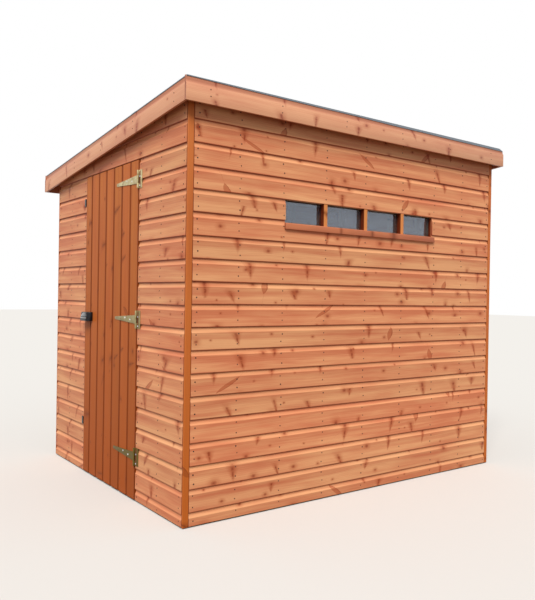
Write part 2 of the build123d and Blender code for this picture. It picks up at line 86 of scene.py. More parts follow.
# Roof: its slope falls towards +Y through the tops of the corner posts. Then the thickness of
# its boards and felt, and the slant across its far front corner
PITCH = math.radians(5.7)
FALL = math.tan(PITCH)
PLUMB = 1 / math.cos(PITCH)
DECK = 0.012
FELT = 0.003
CLIP_LENGTH = 0.050
CLIP_DROP = 0.018
posts_low, posts_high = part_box("corner_posts")


def deck_height(y):
    """Height of the roof boards' underside."""
    return posts_high.z - (y - posts_low.y) * FALL


# Places read from the frame
door_wall_low, door_wall_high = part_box("door_wall_cladding_near")
door_far_low, door_far_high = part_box("door_wall_cladding_far")
far_low, far_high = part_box("far_wall_cladding")
front_low, front_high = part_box("front_cladding_lower")
back_low, back_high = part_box("back_cladding")
window_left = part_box("front_cladding_left")[1].x
window_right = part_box("front_cladding_right")[0].x
window_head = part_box("front_cladding_left")[1].z
sill_low, sill_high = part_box("window_sill")
panes_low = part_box("window_panes")[0]
mullions_low, mullions_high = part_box("window_mullions")
door_low, door_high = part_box("door_boards")
fascia_low, fascia_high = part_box("front_fascia")
back_fascia_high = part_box("back_fascia")[1]
deck_low, deck_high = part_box("roof_deck")
floor_low, floor_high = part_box("floor_deck")
door_head_line = door_wall_high.z
plates_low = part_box("hinge_plates")[0]
handle_low, handle_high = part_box("door_handle")

# Tee hinges: heights of their middles, their metal, the straps and the line of their pins
HINGE_HEIGHTS = (0.244, 0.988, 1.748)
HINGE_METAL = 0.003
STRAP_LENGTH = 0.285
STRAP_START = 0.006
PIN_Y = door_low.y - 0.0025


def linear(hex_colour):
    """Linear RGBA of an sRGB hex colour."""
    parts = [int(hex_colour[i:i + 2], 16) / 255 for i in (1, 3, 5)]
    return (*[c / 12.92 if c <= 0.04045 else ((c + 0.055) / 1.055) ** 2.4 for c in parts], 1)


def seeded(name):
    """Random numbers that are the same each run for one piece."""
    return random.Random(zlib.crc32(name.encode()))


def steps(low, high, count):
    """Places from one value to another, in a number of equal steps."""
    return [low + (high - low) * i / count for i in range(count + 1)]


def feed(tree, node, inputs):
    """Gives a node's inputs a value each, or a link from a socket or from a node's first output."""
    for key, value in inputs.items():
        if isinstance(value, bpy.types.Node):
            value = value.outputs[0]
        if isinstance(value, bpy.types.NodeSocket):
            tree.links.new(value, node.inputs[key])
        else:
            node.inputs[key].default_value = value


def add(tree, kind, *inputs, stops=(), **settings):
    """Adds a shader node, such as TexNoise or Math.ADD, with its settings and its ramp's stops.

    Its inputs come one by one in the order of its sockets, or by name in one dict.
    """
    kind, _, operation = kind.partition(".")
    node = tree.nodes.new("ShaderNode" + kind)
    if operation:
        node.operation = operation
    for key, value in settings.items():
        setattr(node, key, value)
    for number, (position, colour) in enumerate(stops):
        elements = node.color_ramp.elements
        element = elements[number] if number < 2 else elements.new(position)
        element.position, element.color = position, linear(colour)
    named = inputs and isinstance(inputs[0], dict)
    feed(tree, node, inputs[0] if named else dict(enumerate(inputs)))
    return node


def new_material(name):
    """Empty material with its shader; returns material, tree and shader."""
    material = bpy.data.materials.new(name)
    material.use_nodes = True
    tree = material.node_tree
    return material, tree, tree.nodes["Principled BSDF"]


# Late wood comes in rings so far apart across the board
RING_SPACING = 0.008

# A share that falls from all to none as a value rises
FALLING = {"To Min": 1.0, "To Max": 0.0}


def towards_foot(tree, colour, foot, low, high):
    """Colour that turns into the foot's between two heights, towards the bottom."""
    height = add(tree, "SeparateXYZ", {"Vector": add(tree, "TexCoord").outputs["Object"]})
    height = add(tree, "MapRange", {
        "Value": height.outputs[2], "From Min": low, "From Max": high, **FALLING})
    return add(tree, "MixRGB", {"Fac": height, "Color1": colour, "Color2": linear(foot)})


def stretched(tree, place, stretch, **inputs):
    """Noise with so many waves in a metre along, across and into the wood."""
    place = add(tree, "VectorMath.MULTIPLY", place, stretch)
    return add(tree, "TexNoise", {"Vector": place, "Scale": 1.0, **inputs})


def scatter_knots(tree, grain, along, across, randomness, squash=1.0):
    """One knot in each patch of wood of so many mm: the way from it, and its random numbers."""
    place = add(tree, "VectorMath.MULTIPLY", grain, (1000 / along, 1000 / across, 0))
    cells = add(tree, "TexVoronoi", {"Vector": place, "Scale": 1.0, "Randomness": randomness},
                voronoi_dimensions="2D")
    away = add(tree, "VectorMath.SUBTRACT", place, cells.outputs["Position"])
    away = add(tree, "VectorMath.MULTIPLY", away, (along * squash, across, 0))
    return away, add(tree, "SeparateColor", {"Color": cells.outputs["Color"]}).outputs


def from_branch(tree, away, chance, lean, ragged, roughen):
    """Ways in mm beside and along a branch that leans up to lean each way across the board."""
    away = add(tree, "SeparateXYZ", {"Vector": away}).outputs
    lean = add(tree, "Math.MULTIPLY_ADD", chance[1], 2 * lean, -lean)
    lean = add(tree, "Math.MULTIPLY", lean, away[1])
    beside = add(tree, "Math.SUBTRACT", away[0], lean)
    beside = add(tree, "Math.MULTIPLY_ADD", ragged, roughen, beside)
    return beside, away[1]


def softwood(name, honey, rosy, deep, knot, knots=1.0, roughness=0.46, gloss=0.2, foot=None):
    """Planed spruce under a translucent stain.

    The eye sees honey and rosy streaks along each board, brown-red knots with a blush round them,
    darker crevices with stain and painted shade in them, darker sawn ends, and a low sheen that
    leaves the colour full.
    """
    material, tree, shader = new_material(name)
    grain = add(tree, "Attribute", attribute_name="grain").outputs["Vector"]
    board, stain_and_shade, end = [
        add(tree, "Attribute", attribute_name=layer).outputs["Fac"]
        for layer in ("board", "stain_and_shade", "end")]

    # Uneven edge of every knot, up to 5 mm each way
    ragged = add(tree, "TexNoise", {"Vector": grain, "Scale": 75.0, "Detail": 2.0})
    ragged = add(tree, "Math.MULTIPLY_ADD", ragged, 10.0, -5.0)

    # Spike knots: a branch cut along its length, so a broken streak across the board, 20 to 54 mm
    # each way from its middle and 3 to 8 mm each way across the streak
    away, chance = scatter_knots(tree, grain, 360, 120, 0.85)
    beside, along = from_branch(tree, away, chance, 0.55, ragged, 0.7)
    beside = add(tree, "Math.ABSOLUTE", beside)
    length = add(tree, "Math.MULTIPLY_ADD", chance[0], 34.0, 20.0)
    share = add(tree, "Math.DIVIDE", along, length)
    taper = add(tree, "Math.MULTIPLY_ADD", share, 0.65, 1.0)
    width = add(tree, "Math.MULTIPLY_ADD", chance[2], 5.0, 3.4)
    width = add(tree, "Math.MULTIPLY", width, taper)
    side = add(tree, "Math.DIVIDE", beside, width)
    reach = add(tree, "Math.ABSOLUTE", share)
    present = add(tree, "Math.LESS_THAN", chance[1], 0.8 * knots)
    broken = stretched(tree, grain, (14, 70, 0), Detail=1.0)
    broken = add(tree, "MapRange", {
        "Value": broken, "From Min": 0.38, "From Max": 0.6, "To Min": 0.25})
    spike = add(tree, "MapRange", {"Value": side, "From Min": 0.1, "From Max": 1.5, **FALLING})
    fade = add(tree, "MapRange", {"Value": reach, "From Min": 0.7, "From Max": 1.0, **FALLING})
    for part in (fade, broken, present):
        spike = add(tree, "Math.MULTIPLY", spike, part)
    blush = add(tree, "MapRange", {"Value": side, "From Min": 0.5, "From Max": 5.0, **FALLING},
                interpolation_type="SMOOTHSTEP")
    fade = add(tree, "MapRange", {"Value": reach, "From Min": 0.5, "From Max": 1.5, **FALLING})
    for part in (fade, present):
        blush = add(tree, "Math.MULTIPLY", blush, part)

    # Round knots, from pins of 3 mm to a few of 12 mm radius, a little longer along the grain
    away, chance = scatter_knots(tree, grain, 270, 90, 1.0, squash=0.7)
    away = add(tree, "VectorMath.LENGTH", away).outputs["Value"]
    away = add(tree, "Math.MULTIPLY_ADD", ragged, 0.55, away)
    radius = add(tree, "Math.POWER", chance[0], 2.2)
    radius = add(tree, "Math.MULTIPLY_ADD", radius, 8.5, 3.2)
    side = add(tree, "Math.DIVIDE", away, radius)
    present = add(tree, "Math.LESS_THAN", chance[1], 0.55 * knots)
    round_knot = add(tree, "MapRange", {
        "Value": side, "From Min": 0.1, "From Max": 1.25, "To Min": 0.8, "To Max": 0.0})
    round_knot = add(tree, "Math.MULTIPLY", round_knot, present)
    ring = add(tree, "MapRange", {"Value": side, "From Min": 0.6, "From Max": 3.4, **FALLING},
               interpolation_type="SMOOTHSTEP")
    ring = add(tree, "Math.MULTIPLY", ring, present)

    # Leaf knots: a thick branch cut at a slant, brown with one dark edge, 40 mm each way from its
    # middle and 22 mm each way across it
    away, chance = scatter_knots(tree, grain, 1050, 200, 0.9)
    beside, along = from_branch(tree, away, chance, 2.2, ragged, 0.8)
    share = add(tree, "Math.MULTIPLY", along, 1 / 40)
    share = add(tree, "Math.MULTIPLY", share, share)
    width = add(tree, "Math.MULTIPLY_ADD", share, -22.0, 22.0)
    width = add(tree, "Math.MAXIMUM", width, 0.5)
    side = add(tree, "Math.DIVIDE", beside, width)
    present = add(tree, "Math.LESS_THAN", chance[2], 0.36 * knots)
    inside = add(tree, "Math.ABSOLUTE", side)
    leaf = add(tree, "MapRange", {"Value": inside, "From Min": 0.85, "From Max": 1.05, **FALLING})
    leaf = add(tree, "Math.MULTIPLY", leaf, present)
    rim = add(tree, "MapRange", {"Value": side, "From Min": 0.45, "From Max": 0.9})
    rim = add(tree, "Math.MULTIPLY", rim, leaf)

    # Streaks about 20 mm wide wander along the board, rosy stain lies in patches 80 mm wide, and
    # fibres 2 mm wide, coarser than real ones so that they show, run beside rings of late wood
    drift = stretched(tree, grain, (1.3, 9, 9), Detail=2.0)
    drift = add(tree, "Math.MULTIPLY", drift, 0.05)
    drift = add(tree, "CombineXYZ", {"Y": drift})
    across = add(tree, "VectorMath.ADD", grain, drift)
    streaks = stretched(tree, across, (1.6, 44, 30), Detail=4.0, Roughness=0.6)
    patches = stretched(tree, grain, (2.1, 13, 1), Detail=3.0)
    fine = stretched(tree, across, (7, 520, 400), Detail=3.0, Roughness=0.6)
    rings = add(tree, "SeparateXYZ", {"Vector": across})
    rings = add(tree, "Math.MULTIPLY", rings.outputs[1], math.tau / RING_SPACING)
    rings = add(tree, "Math.SINE", rings)
    rings = add(tree, "MapRange", {"Value": rings, "From Min": 0.1, "From Max": 1.0})
    redness = add(tree, "Math.MULTIPLY", streaks, 0.9)
    # Rosier with the board's tone, and with the stain and painted shade of crevices
    for part, weight in ((patches, 0.9), (board, 0.22), (stain_and_shade, 0.6)):
        redness = add(tree, "Math.MULTIPLY_ADD", part, weight, redness)
    redness = add(tree, "MapRange", {"Value": redness, "From Min": 0.78, "From Max": 1.28})
    colour = add(tree, "MixRGB", {"Fac": redness, "Color1": linear(honey), "Color2": linear(rosy)})
    if foot:
        colour = towards_foot(tree, colour, foot, 0.1, 1.9)
    late = add(tree, "Math.MULTIPLY", rings, streaks)

    # Stain gathers round the knots, then come the knots; crevices get stain and painted shade,
    # and sawn ends drink most
    blush = add(tree, "Math.MULTIPLY_ADD", ring, 0.7, blush)
    rim = add(tree, "Math.MULTIPLY", rim, 0.5)
    spike = add(tree, "Math.MULTIPLY", spike, 0.85)
    darkest = add(tree, "Math.MAXIMUM", rim, spike)
    darkest = add(tree, "Math.MAXIMUM", darkest, round_knot)
    for share, strength, tone in (
            (late, 0.24, deep), (blush, 0.6, deep), (leaf, 0.62, deep), (darkest, 1.0, knot),
            (stain_and_shade, 0.62, knot), (end, 0.4, knot)):
        share = add(tree, "Math.MULTIPLY", share, strength, use_clamp=True)
        colour = add(tree, "MixRGB", {"Fac": share, "Color1": colour, "Color2": linear(tone)})
    brightness = add(tree, "Math.MULTIPLY_ADD", board, 0.13, 0.935)
    brightness = add(tree, "Math.MULTIPLY_ADD", fine, 0.16, brightness)
    brightness = add(tree, "Math.ADD", brightness, -0.08)
    relief = add(tree, "Math.MULTIPLY_ADD", rings, 0.3, fine)
    shader.inputs["Specular IOR Level"].default_value = gloss
    feed(tree, shader, {
        "Base Color": add(tree, "HueSaturation", {"Color": colour, "Value": brightness}),
        "Roughness": add(tree, "MapRange", {
            "Value": fine, "To Min": roughness - 0.06, "To Max": roughness + 0.14}),
        "Normal": add(tree, "Bump", {"Height": relief, "Strength": 0.22, "Distance": 0.0005}),
    })
    return material


def sheet_glass():
    """Clear 3 mm sheet glass.

    The eye sees dark smooth panes with strong, slightly cold reflections, a slow ripple and a
    thin film of dust.
    """
    material, tree, shader = new_material("horticultural_glass")
    place = add(tree, "TexCoord").outputs["Object"]
    dust = add(tree, "TexNoise", {"Vector": place, "Scale": 6.0, "Detail": 3.0, "Roughness": 0.5})
    clear = add(tree, "MapRange", {
        "Value": dust, "From Min": 0.3, "From Max": 0.75, "To Min": 0.98, "To Max": 0.92})
    shader.inputs["Base Color"].default_value = linear("#C8D2DE")
    shader.inputs["Roughness"].default_value = 0.0
    shader.inputs["IOR"].default_value = 2.05
    shader.inputs["Specular Tint"].default_value = linear("#E6EDFA")
    ripple = add(tree, "TexNoise", {"Vector": place, "Scale": 9.0, "Detail": 1.0})
    feed(tree, shader, {
        "Transmission Weight": clear,
        "Normal": add(tree, "Bump", {"Height": ripple, "Strength": 0.015, "Distance": 0.004}),
    })
    return material


def mineral_felt():
    """Bitumen felt with mineral grit.

    The eye sees a matte blue-grey sheet with grit 1 to 2 mm across and paler dusty patches.
    """
    material, tree, shader = new_material("mineral_roofing_felt")
    place = add(tree, "TexCoord").outputs["Object"]
    grit = add(tree, "TexNoise", {"Vector": place, "Scale": 1 / 0.0015, "Detail": 2.0})
    dust = add(tree, "TexNoise", {"Vector": place, "Scale": 3.0, "Detail": 5.0, "Roughness": 0.6})
    grains = add(tree, "ValToRGB", {"Fac": grit},
                 stops=[(0.34, "#5A646E"), (0.7, "#A6B0B8"), (0.52, "#7C8892")])
    dusty = add(tree, "MapRange", {
        "Value": dust, "From Min": 0.4, "From Max": 0.75, "To Max": 0.45})
    shader.inputs["Roughness"].default_value = 0.93
    feed(tree, shader, {
        "Base Color": add(tree, "MixRGB", {
            "Fac": dusty, "Color1": grains, "Color2": linear("#8C9298")}),
        "Normal": add(tree, "Bump", {"Height": grit, "Strength": 0.5, "Distance": 0.0008}),
    })
    return material


def plated_steel(name, pale, dark, roughness, metallic=0.75, foot=None):
    """Steel with a thin coat.

    The eye sees metal clouded over 26 mm, with fine marks from handling, and duller towards the
    ground where a colour is given for the foot.
    """
    material, tree, shader = new_material(name)
    place = add(tree, "TexCoord").outputs["Object"]
    cloud = add(tree, "TexNoise", {"Vector": place, "Scale": 38.0, "Detail": 4.0, "Roughness": 0.6})
    colour = add(tree, "ValToRGB", {"Fac": cloud}, stops=[(0.34, dark), (0.66, pale)])
    if foot:
        colour = towards_foot(tree, colour, foot, 0.3, 1.7)
    marks = add(tree, "TexNoise", {"Vector": place, "Scale": 420.0, "Detail": 2.0})
    shader.inputs["Metallic"].default_value = metallic
    feed(tree, shader, {
        "Base Color": colour,
        "Roughness": add(tree, "MapRange", {
            "Value": cloud, "To Min": roughness - 0.08, "To Max": roughness + 0.14}),
        "Normal": add(tree, "Bump", {"Height": marks, "Strength": 0.12, "Distance": 0.0004}),
    })
    return material


def dull_coat(name, dark, pale, roughness):
    """Mastic or rust, dark also as painted shade: the eye sees a dull dark line, mottled over 17
    mm.
    """
    material, tree, shader = new_material(name)
    place = add(tree, "TexCoord").outputs["Object"]
    mottle = add(tree, "TexNoise", {"Vector": place, "Scale": 60.0, "Detail": 3.0})
    shader.inputs["Roughness"].default_value = roughness
    feed(tree, shader, {
        "Base Color": add(tree, "ValToRGB", {"Fac": mottle}, stops=[(0.35, dark), (0.65, pale)]),
        "Normal": add(tree, "Bump", {"Height": mottle, "Strength": 0.1, "Distance": 0.0006}),
    })
    return material


def moulded_abs(name, gloss, coat):
    """Black moulded plastic.

    The eye sees near black with a gloss over a faint ripple, brighter where thumbs polished it.
    """
    material, tree, shader = new_material(name)
    place = add(tree, "TexCoord").outputs["Object"]
    ripple = add(tree, "TexNoise", {"Vector": place, "Scale": 55.0, "Detail": 2.0})
    shader.inputs["Specular IOR Level"].default_value = gloss
    shader.inputs["Coat Weight"].default_value = coat
    shader.inputs["Coat Roughness"].default_value = 0.08
    feed(tree, shader, {
        "Base Color": add(tree, "ValToRGB", {"Fac": ripple},
                          stops=[(0.3, "#0C0D10"), (0.7, "#1C1D22")]),
        "Roughness": add(tree, "MapRange", {"Value": ripple, "To Min": 0.14, "To Max": 0.3}),
        "Normal": add(tree, "Bump", {"Height": ripple, "Strength": 0.06, "Distance": 0.001}),
    })
    return material


# Stained spruce, in honey, rosy, deep and knot colours. Door and posts are more orange and have
# fewer knots, the fascias are pinker and glossier, and the sill and window bars redder
cladding_wood = softwood("stained_spruce_cladding", "#E9AA79", "#D07E58", "#AA4E28", "#86341A")
door_wood = softwood("stained_spruce_door", "#CC7838", "#BC6634", "#90441A", "#6A2E12",
                     knots=0.5, gloss=0.1, foot="#A65016")
post_wood = softwood("stained_spruce_post", "#D37A3E", "#C06A38", "#96481C", "#6A2E12",
                     knots=0.35, gloss=0.15, foot="#BE6426")
fascia_wood = softwood("stained_spruce_fascia", "#DFA47E", "#D08C6C", "#AC5C40", "#84382A",
                       gloss=0.3)
sill_wood = softwood("stained_spruce_sill", "#C67C56", "#B4684A", "#8A442A", "#5E2C18", knots=0.6)
bar_wood = softwood("stained_spruce_bars", "#DE9254", "#CE7E48", "#8E4A24", "#5A1E08",
                    knots=0.2, gloss=0.1)

# Bare spruce inside, pale straw with tan knots, and rough sawn bearers, treated green-brown
frame_wood = softwood("planed_spruce_frame", "#DDB787", "#CFA073", "#A87A4C", "#7A4A28", knots=0.8)
floor_wood = softwood("planed_spruce_floor", "#D6AE7E", "#C6986C", "#A0764A", "#744626", knots=0.8)
bearer_wood = softwood("treated_sawn_bearer", "#8E8559", "#80724C", "#5E5233", "#463A22",
                       roughness=0.75)
glass = sheet_glass()
felt = mineral_felt()

# Hinges straw yellow, screws bright, nails stained near black, clouts dull grey
hinge_zinc = plated_steel("yellow_passivated_zinc", "#D6CCA0", "#A6946A", 0.42, foot="#6A5C28")
screw_zinc = plated_steel("bright_zinc_screws", "#F0F0F4", "#C8C8D0", 0.26)
nail_steel = plated_steel("stained_oval_nails", "#4A2A1E", "#24110A", 0.7, metallic=0.1)
clout_zinc = plated_steel("galvanised_clouts", "#B9BEC3", "#8C9196", 0.5)
# Mastic and rust, both standing also for painted shade
mastic_and_shade = dull_coat("glazing_mastic_and_painted_shade", "#1E0E08", "#34190E", 0.6)
rust_and_shade = dull_coat("rust_and_painted_shade", "#5A3216", "#7C4A20", 0.7)
black_abs = moulded_abs("moulded_black_plastic", 0.25, 0.0)
polished_abs = moulded_abs("thumb_polished_plastic", 1.0, 1.0)


# Points of the solids that lie closer than this are one
SAME_POINT = 0.00002


def timber_mesh():
    """Empty mesh whose points carry the grain, the tone, and the stain and painted shade of their
    timber.
    """
    bm = bmesh.new()
    bm.verts.layers.float_vector.new("grain")
    bm.verts.layers.float.new("board")
    bm.verts.layers.float.new("stain_and_shade")
    bm.faces.layers.float.new("end")
    return bm


def timber(dice):
    """Where one timber lies in the grain, in metres, and its tone from 0 to 1."""
    return Vector((dice.uniform(0, 60), dice.uniform(0, 60), dice.uniform(0, 4))), dice.random()


def skin(bm, rings):
    """Faces between closed rings of points that follow each other."""
    count = len(rings[0])
    for near, far in zip(rings, rings[1:]):
        for i in range(count):
            j = (i + 1) % count
            bm.faces.new((near[i], near[j], far[j], far[i]))


def prism(bm, outline, place, stations, cut):
    """Timber with an outline of (into, across, stain and painted shade) points.

    place puts them at each station.
    """
    grain = bm.verts.layers.float_vector["grain"]
    tone = bm.verts.layers.float["board"]
    stain_and_shade = bm.verts.layers.float["stain_and_shade"]
    end = bm.faces.layers.float["end"]
    shift, shade = cut
    rings = []
    for s in stations:
        ring = []
        for p, q, dark in outline:
            v = bm.verts.new(place(p, q, s))
            v[grain] = shift + Vector((s, q, p))
            v[tone] = shade
            v[stain_and_shade] = dark
            ring.append(v)
        rings.append(ring)
    skin(bm, rings)
    for ring in (rings[0][::-1], rings[-1]):
        bm.faces.new(ring)[end] = 1.0


def islands(bm):
    """Groups of points that faces join, each one timber."""
    bm.verts.index_update()
    seen = set()
    for first in bm.verts:
        if first.index in seen:
            continue
        seen.add(first.index)
        group, edge = [first], [first]
        while edge:
            for link in edge.pop().link_edges:
                for other in link.verts:
                    if other.index not in seen:
                        seen.add(other.index)
                        group.append(other)
                        edge.append(other)
        yield group


def lay_grain(bm, name, fall=0.0):
    """Gives each timber of a mesh its own grain: along its length, across it and into it."""
    dice = seeded(name)
    grain = bm.verts.layers.float_vector.new("grain")
    tone = bm.verts.layers.float.new("board")
    end = bm.faces.layers.float.new("end")
    for group in islands(bm):
        low = [min(v.co[i] for v in group) for i in range(3)]
        high = [max(v.co[i] for v in group) for i in range(3)]
        order = sorted(range(3), key=lambda i: low[i] - high[i])
        shift, shade = timber(dice)
        for v in group:
            place = v.co.copy()
            place.z += fall * place.y
            v[grain] = Vector([place[i] for i in order]) + shift
            v[tone] = shade
        for face in {f for v in group for f in v.link_faces}:
            face.normal_update()
            face[end] = 1.0 if abs(face.normal[order[0]]) > 0.9 else 0.0


def finish_piece(name, bm, material, body, nodes=(), smooth=35.0):
    """Turns a bmesh into a piece of the object that rides on a body and stands for CAD nodes."""
    bmesh.ops.recalc_face_normals(bm, faces=bm.faces[:])
    for face in bm.faces:
        face.smooth = True
    for edge in bm.edges:
        edge.smooth = edge.is_manifold and edge.calc_face_angle(0) < math.radians(smooth)
    mesh = bpy.data.meshes.new(name)
    bm.to_mesh(mesh)
    bm.free()
    mesh.materials.append(material)
    piece = bpy.data.objects.new(name, mesh)
    bpy.context.scene.collection.objects.link(piece)
    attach(piece, body)
    if nodes:
        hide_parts(*nodes)


def clip(outline, low, high):
    """Part of an outline whose heights, its second values, lie between two levels."""
    for level, keep_above in ((low, True), (high, False)):
        kept = []
        for a, b in zip(outline, outline[1:] + outline[:1]):
            in_a = a[1] >= level if keep_above else a[1] <= level
            in_b = b[1] >= level if keep_above else b[1] <= level
            if in_a:
                kept.append(a)
            if in_a != in_b:
                t = (level - a[1]) / (b[1] - a[1])
                kept.append((a[0] + t * (b[0] - a[0]), level, a[2] + t * (b[2] - a[2])))
        outline = kept
    return outline


def shiplap():
    """Outline (depth, height, stain and painted shade) of one board, its lip's lower edge at height
    0.
    """
    radius = (SCOOP_DEPTH ** 2 + SCOOP ** 2) / (2 * SCOOP_DEPTH)
    sweep = math.asin(SCOOP / radius)
    # The lip's lower edge carries painted shade, and the face turns a little darker and rosier
    # towards its scoop
    points = [
        (LIP_EASE, 0, 0.9), (0, LIP_EASE, 0.4), (0, 0.005, 0.02), (0, 0.040, 0),
        (0, 0.058, 0.16), (0, FACE - 0.0015, 0.22),
    ]
    for share in steps(0, 1, SCOOP_STEPS):
        angle = sweep * (1 - share)
        depth = SCOOP_DEPTH - radius + radius * math.cos(angle)
        points.append((depth, FACE + SCOOP - radius * math.sin(angle), 0.1 * share ** 3))
    # The tongue under the next board's lip carries painted shade, darker and redder
    return points + [
        (SCOOP_DEPTH, COVER - 0.003, 0.35), (SCOOP_DEPTH, COVER, 0.95),
        (SCOOP_DEPTH, COVER + LAP, 1), (BOARD_THICKNESS, COVER + LAP, 0),
        (BOARD_THICKNESS, REBATE_HEIGHT, 0), (REBATE_DEPTH, REBATE_HEIGHT, 1),
        (REBATE_DEPTH, 0, 1),
    ]


def lay_board(bm, mark, origin, along, inward, run, edge):
    """One shiplap board along a wall, cut between two heights, with a slight natural bow."""
    start, end, low, high = run
    outline = clip([(p, q + edge, dark) for p, q, dark in shiplap()], low, high)
    if len(outline) < 3:
        return
    dice = random.Random(mark)
    seed = dice.uniform(0, 100)
    stray = dice.uniform(-STRAY, STRAY)
    cut = timber(dice)

    def place(depth, height, s):
        bow = BOW * abs(noise.noise((s * 1.3, seed, 0)))
        waver = WAVER * noise.noise((s * 0.9, seed, 5)) + stray
        free = 0.0 if height in (low, high) else waver
        return origin + along * s + inward * (depth + bow) + Vector((0, 0, height + free))

    first, last = math.ceil(start / BOW_STEP + 0.01), math.floor(end / BOW_STEP - 0.01)
    prism(bm, outline, place, [start, *[i * BOW_STEP for i in range(first, last + 1)], end], cut)


def cut_by_plane(bm, point, normal):
    """Cuts off what lies beyond a plane and closes the cut."""
    geometry = bm.verts[:] + bm.edges[:] + bm.faces[:]
    bmesh.ops.bisect_plane(bm, geom=geometry, plane_co=point, plane_no=normal, clear_outer=True)
    bmesh.ops.holes_fill(bm, edges=[e for e in bm.edges if e.is_boundary])


# Planes that cut: the roof's slope, and the slant across the far front corner of the roof
roof_point = Vector((0, posts_low.y, posts_high.z))
roof_normal = Vector((0, FALL, 1)).normalized()
clip_point = Vector((
    fascia_high.x - CLIP_LENGTH, fascia_low.y, deck_height(fascia_low.y) + (DECK + FELT) * PLUMB,
))
clip_normal = Vector((CLIP_DROP, CLIP_LENGTH * FALL - CLIP_DROP, CLIP_LENGTH)).normalized()


def wall(name, nodes, origin, along, inward, line, runs_of):
    """Boards of one wall. runs_of gives a board's runs as (start, end, low, high)."""
    bm = timber_mesh()
    dice = seeded(name)
    for row in BOARD_ROWS:
        edge = line + row * COVER
        mark = dice.random()
        for run in runs_of(edge):
            lay_board(bm, mark, origin, along, inward, run, edge)
    cut_by_plane(bm, roof_point, roof_normal)
    finish_piece(name, bm, cladding_wood, "shed", nodes)


def front_runs(edge):
    """Front boards: whole, or parted by the window, and one notched for the sill below it."""
    if edge + COVER <= sill_low.z or edge > window_head - 0.001:
        return [(front_low.x, front_high.x, FOOT, TOP)]
    return [
        (front_low.x, window_left, FOOT, TOP),
        (window_right, front_high.x, FOOT, TOP),
        (window_left, window_right, FOOT, sill_low.z),
    ]


def door_wall_runs(edge):
    """Door wall boards: whole over the doorway, parted by it below."""
    if edge > door_head_line - 0.001:
        return [(door_wall_low.y, door_far_high.y, FOOT, TOP)]
    return [
        (door_wall_low.y, door_wall_high.y, FOOT, TOP),
        (door_far_low.y, door_far_high.y, FOOT, TOP),
    ]


wall(
    "front_boards",
    ["front_cladding_lower", "front_cladding_left", "front_cladding_right",
     "front_cladding_upper"],
    Vector((0, front_low.y, 0)), X, Y, FRONT_LINE, front_runs,
)
wall(
    "back_boards", ["back_cladding"], Vector((0, back_high.y, 0)), X, -Y, FRONT_LINE,
    lambda edge: [(back_low.x, back_high.x, FOOT, TOP)],
)
wall(
    "door_wall_boards",
    ["door_wall_cladding_near", "door_wall_cladding_far", "door_wall_cladding_over"],
    Vector((door_wall_low.x, 0, 0)), Y, X, END_LINE, door_wall_runs,
)
wall(
    "far_wall_boards", ["far_wall_cladding"], Vector((far_high.x, 0, 0)), Y, -X, END_LINE,
    lambda edge: [(far_low.y, far_high.y, FOOT, TOP)],
)


def corner_strips():
    """Stained strips in the corners, just behind the boards' faces.

    Painted shade lies on their sides and along the edges of their faces, in the joint each side.
    """
    bm = timber_mesh()
    dice = seeded("strips")
    # Play at each joint, and the width of face edge over which painted shade comes in
    joint, edge = 0.0015, 0.004
    back, eased = 0.002, 0.0032
    inner = BOARD_THICKNESS - 0.0002
    sides = ((door_wall_low.x, front_low.x, 1), (far_high.x, front_high.x, -1))
    ends = ((front_low.y, door_wall_low.y, 1), (back_high.y, door_far_high.y, -1))
    for wall_x, board_x, turn_x in sides:
        for wall_y, board_y, turn_y in ends:
            wide, deep = abs(board_x - wall_x) - joint, abs(board_y - wall_y) - joint
            outline = [
                (eased, back, 0), (deep - edge, back, 0), (deep, back, 1), (deep, inner, 1),
                (inner, inner, 0), (inner, wide, 1), (back, wide, 1), (back, wide - edge, 0),
                (back, eased, 0),
            ]

            def place(p, q, s, wall_x=wall_x, wall_y=wall_y, turn_x=turn_x, turn_y=turn_y):
                return Vector((wall_x + turn_x * q, wall_y + turn_y * p, s))

            prism(bm, outline, place, steps(posts_low.z, TOP, 14), timber(dice))
    cut_by_plane(bm, roof_point, roof_normal)
    finish_piece("corner_strips", bm, post_wood, "shed")


corner_strips()


# What is shaved off the fascias' outermost faces leaves room for nail heads inside the box
SHAVED = 0.0005


def dress(node, material, body, ease=0.0015, segments=2, fall=0.0, woody=True, smooth=35.0,
          tongue=None):
    """Copy of a CAD node with eased edges and its own grain, which stands for the node.

    A fascia gives as tongue the axis that its face looks along. It is shaved at the sides of the
    roof, and its scoop and tongue, set back under the felt, carry painted shade, darker and redder.
    """
    bm = bmesh.new()
    bm.from_mesh(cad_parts[node].data)
    bmesh.ops.remove_doubles(bm, verts=bm.verts[:], dist=SAME_POINT)
    bmesh.ops.dissolve_limit(
        bm, angle_limit=math.radians(1), verts=bm.verts[:], edges=bm.edges[:])
    sharp = [e for e in bm.edges if e.is_manifold and e.calc_face_angle(0) > math.radians(40)]
    bmesh.ops.bevel(
        bm, geom=sharp, offset=ease, segments=segments, profile=0.6, affect="EDGES",
        clamp_overlap=True,
    )
    if tongue is not None:
        for v in bm.verts:
            if abs(v.co.x) > cad_high[0] - SHAVED:
                v.co.x = math.copysign(cad_high[0] - SHAVED, v.co.x)
    if woody:
        lay_grain(bm, node, fall)
    # Painted shade: the deeper a point lies behind the fascia's face, the darker and redder, up to
    # half
    if tongue is not None:
        stain_and_shade = bm.verts.layers.float.new("stain_and_shade")
        face = max(abs(v.co[tongue]) for v in bm.verts)
        for v in bm.verts:
            v[stain_and_shade] = 0.5 * min(1.0, (face - abs(v.co[tongue])) / SCOOP_DEPTH)
    finish_piece(node + "_dressed", bm, material, body, [node], smooth)


